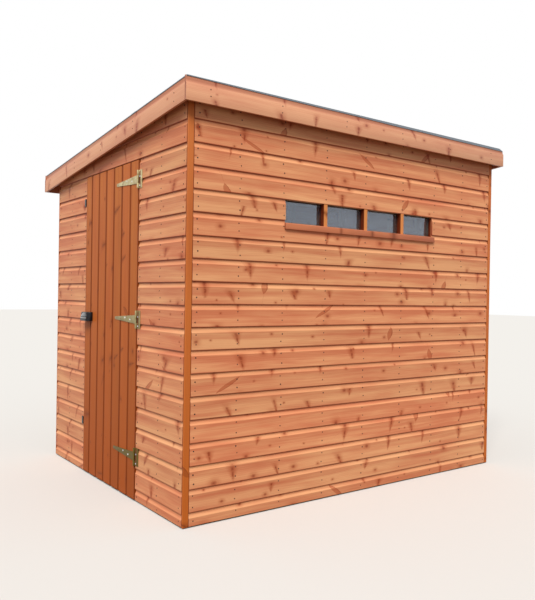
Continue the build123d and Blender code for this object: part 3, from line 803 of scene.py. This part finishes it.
for node in ("front_studs", "front_rails", "back_studs", "back_rails", "door_wall_studs",
             "door_wall_rails", "far_wall_studs", "far_wall_rails", "purlins", "eaves_battens"):
    dress(node, frame_wood, "shed")
dress("verge_battens", frame_wood, "shed", fall=FALL)
dress("corner_posts", post_wood, "shed", ease=0.002)
dress("floor_bearers", bearer_wood, "shed", ease=0.002)
dress("window_sill", sill_wood, "shed")
dress("window_beads", frame_wood, "shed")
dress("window_panes", glass, "shed", ease=0.0003, segments=1, woody=False)
for node in ("front_fascia", "back_fascia"):
    dress(node, fascia_wood, "shed", ease=0.001, tongue=1)
for node in ("door_side_fascia", "far_side_fascia"):
    dress(node, fascia_wood, "shed", ease=0.001, fall=FALL, tongue=0)
for node in ("door_ledges", "door_braces"):
    dress(node, frame_wood, "door")
for node, body in (("hinge_plates", "shed"), ("hinge_straps", "door")):
    dress(node, hinge_zinc, body, ease=0.0005, woody=False)
dress("door_handle", black_abs, "door", ease=0.0015, woody=False, smooth=50.0)
dress("latch_keeps", black_abs, "shed", ease=0.0008, woody=False)

# Door boards, tongued and grooved with V joints: the first board's width and the others' cover
DOOR_JOINT = 0.101
DOOR_COVER = 0.1114
DOOR_JOINTS = 6
JOINT_GAP = 0.0005
GROOVE_HALF = 0.0065
GROOVE_DEPTH = 0.005
GROOVE_SHADE = 0.007
DOOR_EASE = 0.0015
door_joints = [door_low.y + DOOR_JOINT + i * DOOR_COVER for i in range(DOOR_JOINTS)]
door_edges = [door_low.y, *door_joints, door_high.y]


def door_boards():
    """Upright matchboards with a V at each joint, dark with stain and painted shade in and beside
    it.
    """
    bm = timber_mesh()
    dice = seeded("door")
    thickness = door_high.x - door_low.x
    for number, (left, right) in enumerate(zip(door_edges, door_edges[1:])):
        first, last = number == 0, number == DOOR_JOINTS
        a = left + (0 if first else JOINT_GAP)
        b = right - (0 if last else JOINT_GAP)
        left_v, left_d = (DOOR_EASE, DOOR_EASE) if first else (GROOVE_HALF, GROOVE_DEPTH)
        right_v, right_d = (DOOR_EASE, DOOR_EASE) if last else (GROOVE_HALF, GROOVE_DEPTH)
        outline = [
            (left_d, a, 1.5), (0, a + left_v, 1.1), (0, a + left_v + GROOVE_SHADE, 0.0),
            (0, b - right_v - GROOVE_SHADE, 0.0), (0, b - right_v, 1.1), (right_d, b, 1.5),
            (thickness, b, 0.2), (thickness, a, 0.2),
        ]
        seed = dice.uniform(0, 50)

        def place(depth, across, s, seed=seed):
            bow = 0.0006 * abs(noise.noise((s * 1.5, seed, 0)))
            return Vector((door_low.x + min(depth + bow, thickness), across, s))

        prism(bm, outline, place, steps(door_low.z, door_high.z, 12), timber(dice))
    finish_piece("door_matchboards", bm, door_wood, "door", ["door_boards"])


door_boards()


def floor_boards():
    """Floor boards along the shed, the outer strips fitted between the corner posts."""
    bm = timber_mesh()
    dice = seeded("floor")
    post, gap, ease = 0.044, 0.0006, 0.001
    count = 15
    edges = [floor_low.y, *steps(floor_low.y + post, floor_high.y - post, count), floor_high.y]
    thickness = floor_high.z - floor_low.z
    for number, (a, b) in enumerate(zip(edges, edges[1:])):
        inset = post if number in (0, count + 1) else 0
        a, b = a + gap, b - gap
        # The underside and the eased edges are darker: stain and painted shade between the boards
        outline = [
            (0, a, 0.3), (0, b, 0.3), (thickness - ease, b, 0.5), (thickness, b - ease, 0),
            (thickness, a + ease, 0), (thickness - ease, a, 0.5),
        ]
        stray = dice.uniform(-0.0004, 0)

        def place(p, q, s, stray=stray):
            return Vector((s, q, floor_low.z + p + (stray if p > thickness / 2 else 0)))

        stations = steps(floor_low.x + inset, floor_high.x - inset, 8)
        prism(bm, outline, place, stations, timber(dice))
    finish_piece("floor_boards", bm, floor_wood, "shed", ["floor_deck"])


floor_boards()


def roof_boards():
    """Roof boards down the slope, side by side, under the felt."""
    bm = timber_mesh()
    dice = seeded("roof")
    ease, count = 0.001, 22
    cover = (deck_high.x - deck_low.x) / count
    thickness = DECK * PLUMB

    def place(p, q, s):
        return Vector((q, s, deck_height(s) + p))

    for number in range(count):
        a = deck_low.x + number * cover
        b = a + cover
        # The eased lower edges are darker: stain and painted shade between the boards
        outline = [
            (ease, a, 0.5), (0, a + ease, 0), (0, b - ease, 0), (ease, b, 0.5),
            (thickness, b, 0), (thickness, a, 0),
        ]
        prism(bm, outline, place, steps(deck_low.y, deck_high.y, 6), timber(dice))
    cut_by_plane(bm, clip_point, clip_normal)
    finish_piece("roof_boards", bm, frame_wood, "shed", ["roof_deck"])


roof_boards()


def columns_of(name):
    """Middles of the timbers of a node, seen from above."""
    found = []
    bm = bmesh.new()
    bm.from_mesh(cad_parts[name].data)
    bmesh.ops.remove_doubles(bm, verts=bm.verts[:], dist=SAME_POINT)
    for group in islands(bm):
        xs = [v.co.x for v in group]
        ys = [v.co.y for v in group]
        found.append(((min(xs) + max(xs)) / 2, (min(ys) + max(ys)) / 2))
    bm.free()
    return found


# Window bars, planed narrower than the solids' and set a little away from the door, and the play
# between the window's trim and what it lies against
BAR_HALF = 0.0135
BAR_SHIFT = 0.0025
TRIM_PLAY = 0.0002
bar_middles = [
    x + BAR_SHIFT for x in sorted({round(x, 4) for x, y in columns_of("window_mullions")})]


def window_bars():
    """Three bars of the window, their sides darker towards the glass with stain and painted shade.
    """
    bm = timber_mesh()
    dice = seeded("bars")
    thickness = mullions_high.y - mullions_low.y
    glass_depth = panes_low.y - mullions_low.y
    face, eased = BAR_HALF - 0.0015, 0.002
    outline = [
        (eased, -BAR_HALF, 1.5), (0, -face, 0), (0, face, 0), (eased, BAR_HALF, 1.5),
        (glass_depth, BAR_HALF, 1.6), (thickness, BAR_HALF, 0), (thickness, -BAR_HALF, 0),
        (glass_depth, -BAR_HALF, 1.6),
    ]
    for middle in bar_middles:
        def place(p, q, s, middle=middle):
            return Vector((middle + q, mullions_low.y + p, s))

        prism(bm, outline, place, steps(mullions_low.z, mullions_high.z, 2), timber(dice))
    finish_piece("window_bars", bm, bar_wood, "shed", ["window_mullions"])


window_bars()


def box(bm, low, high):
    """Plain box between two corners, for strips a few millimetres thick."""
    made = bmesh.ops.create_cube(bm, size=1)
    for v in made["verts"]:
        v.co = Vector([low[i] + (v.co[i] + 0.5) * (high[i] - low[i]) for i in range(3)])


def window_seals_and_shade():
    """Mastic fillets in front of the glass, along both sides and the head of each pane.

    Their dark colour is mastic and painted shade; along the head it is the painted shadow under it.
    """
    bm = bmesh.new()
    strip, reach = 0.0025, 0.004
    y_low, y_high = panes_low.y - reach, panes_low.y - TRIM_PLAY
    edges = [window_left]
    for middle in bar_middles:
        edges += [middle - BAR_HALF, middle + BAR_HALF]
    edges.append(window_right)
    base, head = sill_high.z + TRIM_PLAY, window_head - TRIM_PLAY
    for a, b in zip(edges[::2], edges[1::2]):
        a, b = a + TRIM_PLAY, b - TRIM_PLAY
        box(bm, (a, y_low, base), (a + strip, y_high, head - strip))
        box(bm, (b - strip, y_low, base), (b, y_high, head - strip))
        box(bm, (a, y_low, head - strip), (b, y_high, head))
    finish_piece("window_seals_and_shade", bm, mastic_and_shade, "shed")


window_seals_and_shade()


def window_jambs():
    """Stained linings 2 mm thick on the studs at both ends of the window, darkened with painted
    shade.
    """
    bm = timber_mesh()
    dice = seeded("jambs")
    lining = 0.002
    y_low, y_high = front_low.y + BOARD_THICKNESS + TRIM_PLAY, panes_low.y - 0.0046
    outline = [(0, y_low, 1.5), (0, y_high, 1.6), (lining, y_high, 1.6), (lining, y_low, 1.5)]
    stations = [sill_high.z + TRIM_PLAY, window_head - 0.0024]
    for x, turn in ((window_left + TRIM_PLAY, 1), (window_right - TRIM_PLAY, -1)):
        def place(p, q, s, x=x, turn=turn):
            return Vector((x + turn * p, q, s))

        prism(bm, outline, place, stations, timber(dice))
    finish_piece("window_jambs", bm, bar_wood, "shed")


window_jambs()


# Felt: one sheet, its laps down the slope, its hang over the front and the back, how far it
# stands off there, its folds there and at the verges, and its play over the boards
SHEET = 0.0013
FELT_LAP = 0.075
LAP_SHARES = (0.30, 0.66)
HANG = 0.009
STAND_OFF = 0.0024
FOLD_GAP = 0.0004
VERGE_FOLD = 0.0018
VERGE_DROP = 0.0045
PLAY = 0.0001


def felt_course(name, points):
    """Sheet over a line of (y, height over the roof boards, hang) points across the shed.

    It ends at the side fascias' tongues, where it is turned down. What hangs over the front or
    the back hangs lower towards the far end, in a slow wave.
    """
    bm = bmesh.new()
    seed = seeded(name).uniform(0, 90)
    x_low = cad_low[0] + SCOOP_DEPTH - VERGE_FOLD
    x_high = cad_high[0] - SCOOP_DEPTH + VERGE_FOLD
    rows = []
    for x in (x_low, *steps(x_low + VERGE_FOLD, x_high - VERGE_FOLD, 44), x_high):
        down = VERGE_DROP if x in (x_low, x_high) else 0
        wave = noise.noise((x * 2.6, seed, 0))
        row = []
        for y, rise, hang in points:
            depth = hang * (0.5 + 1.15 * (x - x_low) / (x_high - x_low) + 0.3 * wave)
            ripple = 0 if hang else 0.0004 * abs(noise.noise((x * 5, y * 6, seed)))
            z = deck_height(y) + DECK * PLUMB + rise + ripple - depth - down
            row.append(bm.verts.new(Vector((x, y, z))))
        rows.append(row)
    skin(bm, rows)
    bm.faces.new(rows[0][::-1])
    bm.faces.new(rows[-1])
    bmesh.ops.recalc_face_normals(bm, faces=bm.faces[:])
    cut_by_plane(bm, clip_point, clip_normal)
    return bm


def felt_sheets():
    """Three courses of felt, lapped down the slope, the outer two folded over the fascias."""
    ridge, eaves = fascia_low.y + SCOOP_DEPTH, back_fascia_high.y - SCOOP_DEPTH
    upper, lower = [ridge + (eaves - ridge) * share for share in LAP_SHARES]
    under = 0.9 * FELT_LAP

    def lapped(y, above):
        """Lower end of a course, which rides up on the next one's head and lies on it."""
        ride = y - 0.6 * FELT_LAP
        return [
            (y - FELT_LAP, SHEET * above, 0), (ride, SHEET * 2.05, 0), (y, SHEET * 2.05, 0),
            (y, SHEET * 1.05, 0), (ride, SHEET * 1.05, 0), (y - FELT_LAP, PLAY, 0),
        ]

    front = [
        (ridge - STAND_OFF, 0.0, HANG), (ridge - STAND_OFF, SHEET * 0.6, 0),
        (ridge - STAND_OFF * 0.4, SHEET * 1.35, 0), (ridge + 0.004, SHEET * 1.3, 0),
        *lapped(upper, 1.2),
        (ridge + 0.001, PLAY, 0), (ridge - FOLD_GAP, -0.001, 0), (ridge - FOLD_GAP, 0.0, HANG),
    ]
    middle = [(upper - under, SHEET, 0), *lapped(lower, 1.0), (upper - under, PLAY, 0)]
    back = [
        (lower - under, SHEET, 0), (eaves - 0.004, SHEET, 0), (eaves + STAND_OFF * 0.4, SHEET, 0),
        (eaves + STAND_OFF, SHEET * 0.4, 0), (eaves + STAND_OFF, 0.0, HANG),
        (eaves + FOLD_GAP, 0.0, HANG), (eaves + FOLD_GAP, -0.001, 0), (eaves - 0.001, PLAY, 0),
        (lower - under, PLAY, 0),
    ]
    total = bmesh.new()
    for name, points in (("felt_front", front), ("felt_middle", middle), ("felt_back", back)):
        bm = felt_course(name, points)
        mesh = bpy.data.meshes.new(name)
        bm.to_mesh(mesh)
        bm.free()
        total.from_mesh(mesh)
        bpy.data.meshes.remove(mesh)
    finish_piece("felt_sheets", total, felt, "shed", ["roof_felt"], smooth=50.0)


felt_sheets()


# Nails, screws and clouts: radius and height of their heads, and where nails lie on a board
NAIL_RADIUS = 0.0036
NAIL_LIFT = 0.0004
NAIL_STRAY = 0.006
NAIL_SHARES = (0.26, 0.66)
NAIL_ROWS = range(-1, 19)
POST_NAIL = 0.022
JAMB_NAIL = 0.018
FASCIA_NAIL_RADIUS = 0.0034
DOOR_NAIL_RADIUS = 0.0018
DOOR_NAIL_LIFT = 0.0002
SCREW_RADIUS = 0.0046
SCREW_LIFT = 0.0022
HOLE_RADIUS = 0.0028
CLOUT_RADIUS = 0.0042
CLOUT_LIFT = 0.0008


def head(bm, centre, outward, radius, lift, sides=8, sunk=0.0004, recess=False):
    """Low domed head of a nail or screw, standing out of a face, with or without a recess."""
    turn = outward.to_track_quat("Z", "Y")

    def ring(share, rise, pinch=1.0):
        points = []
        for i in range(sides):
            reach, angle = radius * share * (1 if i % 3 else pinch), i * math.tau / sides
            spot = Vector((reach * math.cos(angle), reach * math.sin(angle), rise))
            points.append(bm.verts.new(centre + turn @ spot))
        return points

    rings = [ring(1.0, -sunk), ring(1.0, lift * 0.4), ring(0.75, lift * 0.85), ring(0.4, lift)]
    if recess:
        rings.append(ring(0.32, lift * 0.35, pinch=0.55))
    skin(bm, rings)
    bm.faces.new(rings[-1])
    bm.faces.new(rings[0][::-1])


def nails(name, face, outward, line, columns, gaps=()):
    """Nails of one wall: face gives the point at (along, height), gaps have no boards."""
    bm = bmesh.new()
    dice = seeded(name)
    for along in columns:
        for row in NAIL_ROWS:
            for share in NAIL_SHARES:
                a = along + dice.uniform(-NAIL_STRAY, NAIL_STRAY)
                z = line + row * COVER + share * COVER + dice.uniform(-NAIL_STRAY, NAIL_STRAY)
                radius = NAIL_RADIUS * dice.uniform(0.85, 1.2)
                point = face(a, z)
                if z < FOOT + 0.01 or z > deck_height(point.y) - 0.02:
                    continue
                if any(lo < a < hi and low < z < high for lo, hi, low, high in gaps):
                    continue
                head(bm, point, outward, radius, NAIL_LIFT)
    finish_piece(name, bm, nail_steel, "shed")


def nail_columns(studs, axis, low, high):
    """Places along a wall for nails: over each stud, and over the posts at both ends."""
    middles = {round(middle[axis], 3) for middle in columns_of(studs)}
    return sorted(middles | {round(low + POST_NAIL, 3), round(high - POST_NAIL, 3)})


window_gap = (window_left - 0.005, window_right + 0.005, sill_low.z - 0.006, window_head + 0.006)
nails("front_nails", lambda a, z: Vector((a, front_low.y, z)), -Y, FRONT_LINE,
      nail_columns("front_studs", 0, front_low.x, front_high.x), [window_gap])
nails("back_nails", lambda a, z: Vector((a, back_high.y, z)), Y, FRONT_LINE,
      nail_columns("back_studs", 0, back_low.x, back_high.x))
nails("far_wall_nails", lambda a, z: Vector((far_high.x, a, z)), X, END_LINE,
      nail_columns("far_wall_studs", 1, far_low.y, far_high.y))
door_gap = (door_low.y - 0.006, door_high.y + 0.007, 0, door_head_line)
hinge_gaps = [(plates_low.y - 0.01, door_low.y, z - 0.058, z + 0.058) for z in HINGE_HEIGHTS]
door_columns = [
    door_wall_low.y + POST_NAIL, (door_wall_low.y + door_wall_high.y) / 2,
    door_wall_high.y - JAMB_NAIL, door_far_low.y + JAMB_NAIL,
    (door_far_low.y + door_far_high.y) / 2, door_far_high.y - POST_NAIL,
    (door_low.y + door_high.y) / 2,
]
nails("door_wall_nails", lambda a, z: Vector((door_wall_low.x, a, z)), -X, END_LINE, door_columns,
      [door_gap, *hinge_gaps])


def door_nails():
    """Small nails through each door board into the three ledges, none under a strap."""
    bm = bmesh.new()
    dice = seeded("door_nails")
    for height in HINGE_HEIGHTS:
        for a, b in zip(door_edges, door_edges[1:]):
            for share, rise in ((0.3, -0.028), (0.7, 0.028)):
                y = a + (b - a) * share + dice.uniform(-0.003, 0.003)
                z = height + rise + dice.uniform(-0.004, 0.004)
                if y < PIN_Y + STRAP_LENGTH and abs(z - height) < 0.024:
                    continue
                head(bm, Vector((door_low.x, y, z)), -X, DOOR_NAIL_RADIUS, DOOR_NAIL_LIFT, sides=6)
    finish_piece("door_nails", bm, nail_steel, "door")


door_nails()


def fascia_nails():
    """Pairs of nails through the fascia boards into the battens behind them."""
    bm = bmesh.new()
    dice = seeded("fascia_nails")
    top = DECK * PLUMB
    for even in steps(fascia_low.x + 0.12, fascia_high.x - 0.12, 5):
        x = even + dice.uniform(-0.02, 0.02)
        for drop in (0.049, 0.083):
            rise = top - drop + dice.uniform(-0.004, 0.004)
            spot = x + dice.uniform(-0.004, 0.004)
            for y, out in ((fascia_low.y, -Y), (back_fascia_high.y, Y)):
                point = Vector((spot, y, deck_height(y) + rise))
                head(bm, point, out, FASCIA_NAIL_RADIUS, NAIL_LIFT)
    for even in steps(fascia_low.y + 0.11, back_fascia_high.y - 0.11, 4):
        y = even + dice.uniform(-0.02, 0.02)
        for drop in (0.049, 0.086):
            z = deck_height(y) + top - drop * PLUMB + dice.uniform(-0.004, 0.004)
            for x, out in ((fascia_low.x + SHAVED, -X), (fascia_high.x - SHAVED, X)):
                head(bm, Vector((x, y, z)), out, FASCIA_NAIL_RADIUS, NAIL_LIFT)
    finish_piece("fascia_nails", bm, nail_steel, "shed")


fascia_nails()


def felt_clouts():
    """Flat clout nails along the verges and along the front and back edges of the felt."""
    bm = bmesh.new()
    dice = seeded("clouts")
    top = (DECK + FELT) * PLUMB - 0.0018

    def clout(x, y):
        point = Vector((x, y, deck_height(y) + top))
        head(bm, point, roof_normal, CLOUT_RADIUS, CLOUT_LIFT, sides=10, sunk=0.001)

    for x in (fascia_low.x + 0.016, fascia_high.x - 0.016):
        for number, even in enumerate(steps(fascia_low.y + 0.05, back_fascia_high.y - 0.05, 13)):
            y = even + dice.uniform(-0.01, 0.01)
            in_cut_corner = x > 0 and number == 0
            if not in_cut_corner:
                clout(x, y)
    for even in steps(fascia_low.x + 0.06, fascia_high.x - 0.08, 16):
        x = even + dice.uniform(-0.012, 0.012)
        for y in (fascia_low.y + 0.02, back_fascia_high.y - 0.02):
            clout(x, y)
    finish_piece("felt_clouts", bm, clout_zinc, "shed")


felt_clouts()


def strap_spot(share, height):
    """Point on the face of a strap, at a share of its length."""
    return Vector((door_low.x - HINGE_METAL, PIN_Y + STRAP_START + STRAP_LENGTH * share, height))


def hinge_screws():
    """Round-headed screws: two on each plate and two, one a little higher, along each strap."""
    plate_bm, strap_bm = bmesh.new(), bmesh.new()
    shape = {"radius": SCREW_RADIUS, "lift": SCREW_LIFT, "sides": 12, "recess": True}
    for height in HINGE_HEIGHTS:
        for rise in (0.014, -0.036):
            spot = Vector((door_wall_low.x - 0.0036, PIN_Y - 0.0145, height + rise))
            head(plate_bm, spot, -X, **shape)
        for share, rise in ((0.26, -0.003), (0.49, 0.006)):
            head(strap_bm, strap_spot(share, height + rise), -X, **shape)
    finish_piece("plate_screws", plate_bm, screw_zinc, "shed")
    finish_piece("strap_screws", strap_bm, screw_zinc, "door")


hinge_screws()


def plate_shadow_and_rust():
    """Dark band down each hinge plate, in which its screws sit: rust and the knuckle's painted
    shadow.
    """
    bm = bmesh.new()
    x, half = door_wall_low.x - HINGE_METAL, 0.0445
    for height in HINGE_HEIGHTS:
        box(bm, (x - 0.0005, PIN_Y - 0.0205, height - half),
            (x + 0.001, PIN_Y - 0.0075, height + half))
    finish_piece("plate_shadow_and_rust", bm, rust_and_shade, "shed")


plate_shadow_and_rust()


def strap_holes():
    """Two screw holes left empty near the tip of each strap: dark discs of rust and painted shade.
    """
    bm = bmesh.new()
    for height in HINGE_HEIGHTS:
        for share, rise in ((0.70, -0.002), (0.88, 0.0)):
            head(bm, strap_spot(share, height + rise), -X, HOLE_RADIUS, 0.0002, sides=10)
    finish_piece("strap_holes", bm, rust_and_shade, "door")


strap_holes()

# Handle: lean of its face, and the thumb rest's height, swell and sinking into that face
HANDLE_LEAN = 0.009
THUMB_HEIGHT = 0.023
THUMB_SWELL = 0.007
THUMB_SUNK = 0.0008


def handle_case():
    """Thumb rest, half a dome on the upper half of the handle, over a rib across its middle."""
    bm = bmesh.new()
    middle = (handle_low.z + handle_high.z) / 2
    height = handle_high.z - handle_low.z
    start, end = handle_low.y + 0.014, handle_high.y - 0.006
    centre, half = (start + end) / 2, (end - start) / 2
    foot = middle + 0.002

    def face_x(z):
        """Place of the leaning face at a height."""
        return handle_low.x + HANDLE_LEAN * (z - handle_low.z) / height

    sides, rings = 20, 7
    rows = []
    for j in range(rings):
        share = 1 - j / rings
        swell = THUMB_SWELL * math.sqrt(1 - share * share)
        row = []
        for turn in steps(0, math.pi, sides):
            y = centre + half * share * math.cos(turn)
            z = foot + THUMB_HEIGHT * share * math.sin(turn)
            row.append(bm.verts.new(Vector((face_x(z) + THUMB_SUNK - swell, y, z))))
        rows.append(row)
    crown = bm.verts.new(Vector((face_x(foot) + THUMB_SUNK - THUMB_SWELL, centre, foot)))
    for a, b in zip(rows, rows[1:]):
        for i in range(sides):
            bm.faces.new((a[i], a[i + 1], b[i + 1], b[i]))
    for i in range(sides):
        bm.faces.new((rows[-1][i], rows[-1][i + 1], crown))
    bm.faces.new([row[0] for row in rows] + [crown] + [row[-1] for row in rows[::-1]])
    bm.faces.new(rows[0][::-1])
    finish_piece("handle_thumb_rest", bm, polished_abs, "door", smooth=50.0)

    bm = bmesh.new()
    rib_low, rib_high = middle - 0.0125, middle - 0.0035
    box(bm, (face_x(rib_low) - 0.0012, start - 0.006, rib_low),
        (face_x(rib_high) + 0.003, end + 0.002, rib_high))
    bmesh.ops.bevel(bm, geom=bm.edges[:], offset=0.001, segments=2, profile=0.6, affect="EDGES")
    finish_piece("handle_rib", bm, polished_abs, "door", smooth=50.0)


handle_case()

# Camera at the photo's view, worked out in photo pixels on a frame of 535 by 600
PHOTO_HEIGHT = 600
FOCAL_PIXELS = 667.2
YAW, TILT, ROLL = math.radians(53.74), math.radians(-0.36), math.radians(0.93)
EYE = Vector((-2.764, -3.765, 1.128))


def photo_camera():
    """Camera that stands where the photo was taken from."""
    flat = math.cos(TILT)
    forward = Vector((math.cos(YAW) * flat, math.sin(YAW) * flat, math.sin(TILT)))
    level = Vector((math.sin(YAW), -math.cos(YAW), 0))
    upright = level.cross(forward)
    right = level * math.cos(ROLL) + upright * math.sin(ROLL)
    upward = -level * math.sin(ROLL) + upright * math.cos(ROLL)
    data = bpy.data.cameras.new("photo_camera")
    data.sensor_width = 36
    data.lens = FOCAL_PIXELS / PHOTO_HEIGHT * data.sensor_width
    data.clip_start, data.clip_end = 0.05, 200
    camera = bpy.data.objects.new("photo_camera", data)
    bpy.context.scene.collection.objects.link(camera)
    camera.matrix_world = Matrix((right, upward, -forward)).transposed().to_4x4()
    camera.location = EYE
    bpy.context.scene.camera = camera


photo_camera()


# Studio: strengths of the even light and of the lamp, the lamp's breadth, and where it shines from
WORLD_STRENGTH = 0.53
LAMP_STRENGTH = 3.5
LAMP_ANGLE = math.radians(26)
LAMP_FROM = Vector((-0.46, -0.50, 0.74))


def seen(tree):
    """1 for what is seen directly, mirrored or through glass, and 0 for light that falls on."""
    path = add(tree, "LightPath").outputs
    rays = add(tree, "Math.ADD", path["Is Camera Ray"], path["Is Glossy Ray"])
    return add(tree, "Math.ADD", rays, path["Is Transmission Ray"],
               use_clamp=True)


def studio():
    """Pale floor, even light all round and one broad soft light high over the near corner.

    The floor and the world show paler than the light they give.
    """
    bm = bmesh.new()
    bmesh.ops.create_grid(bm, x_segments=1, y_segments=1, size=40)
    mesh = bpy.data.meshes.new("floor")
    bm.to_mesh(mesh)
    bm.free()
    floor = bpy.data.objects.new("floor", mesh)
    bpy.context.scene.collection.objects.link(floor)
    material, tree, shader = new_material("pale_floor")
    pale = add(tree, "BsdfDiffuse", {"Color": linear("#D8D6D2")})
    dull = add(tree, "BsdfDiffuse", {"Color": linear("#7A6A5C")})
    mixed = add(tree, "MixShader", {0: seen(tree), 1: dull, 2: pale})
    feed(tree, tree.nodes["Material Output"], {"Surface": mixed})
    tree.nodes.remove(shader)
    mesh.materials.append(material)
    world = bpy.data.worlds.new("studio")
    bpy.context.scene.world = world
    world.use_nodes = True
    tree = world.node_tree
    even = tree.nodes["Background"]
    even.inputs["Color"].default_value = (0.94, 0.96, 1.0, 1)
    even.inputs["Strength"].default_value = WORLD_STRENGTH
    white = add(tree, "Background", {"Color": (1, 1, 1, 1), "Strength": 1.0})
    mixed = add(tree, "MixShader", {0: seen(tree), 1: even, 2: white})
    feed(tree, tree.nodes["World Output"], {"Surface": mixed})
    lamp = bpy.data.lights.new("soft_sun", "SUN")
    lamp.energy = LAMP_STRENGTH
    lamp.angle = LAMP_ANGLE
    lamp.color = (1.0, 0.97, 0.93)
    sun = bpy.data.objects.new("soft_sun", lamp)
    bpy.context.scene.collection.objects.link(sun)
    sun.rotation_euler = LAMP_FROM.to_track_quat("Z", "Y").to_euler()


studio()
view = bpy.context.scene.view_settings
view.view_transform = "Standard"
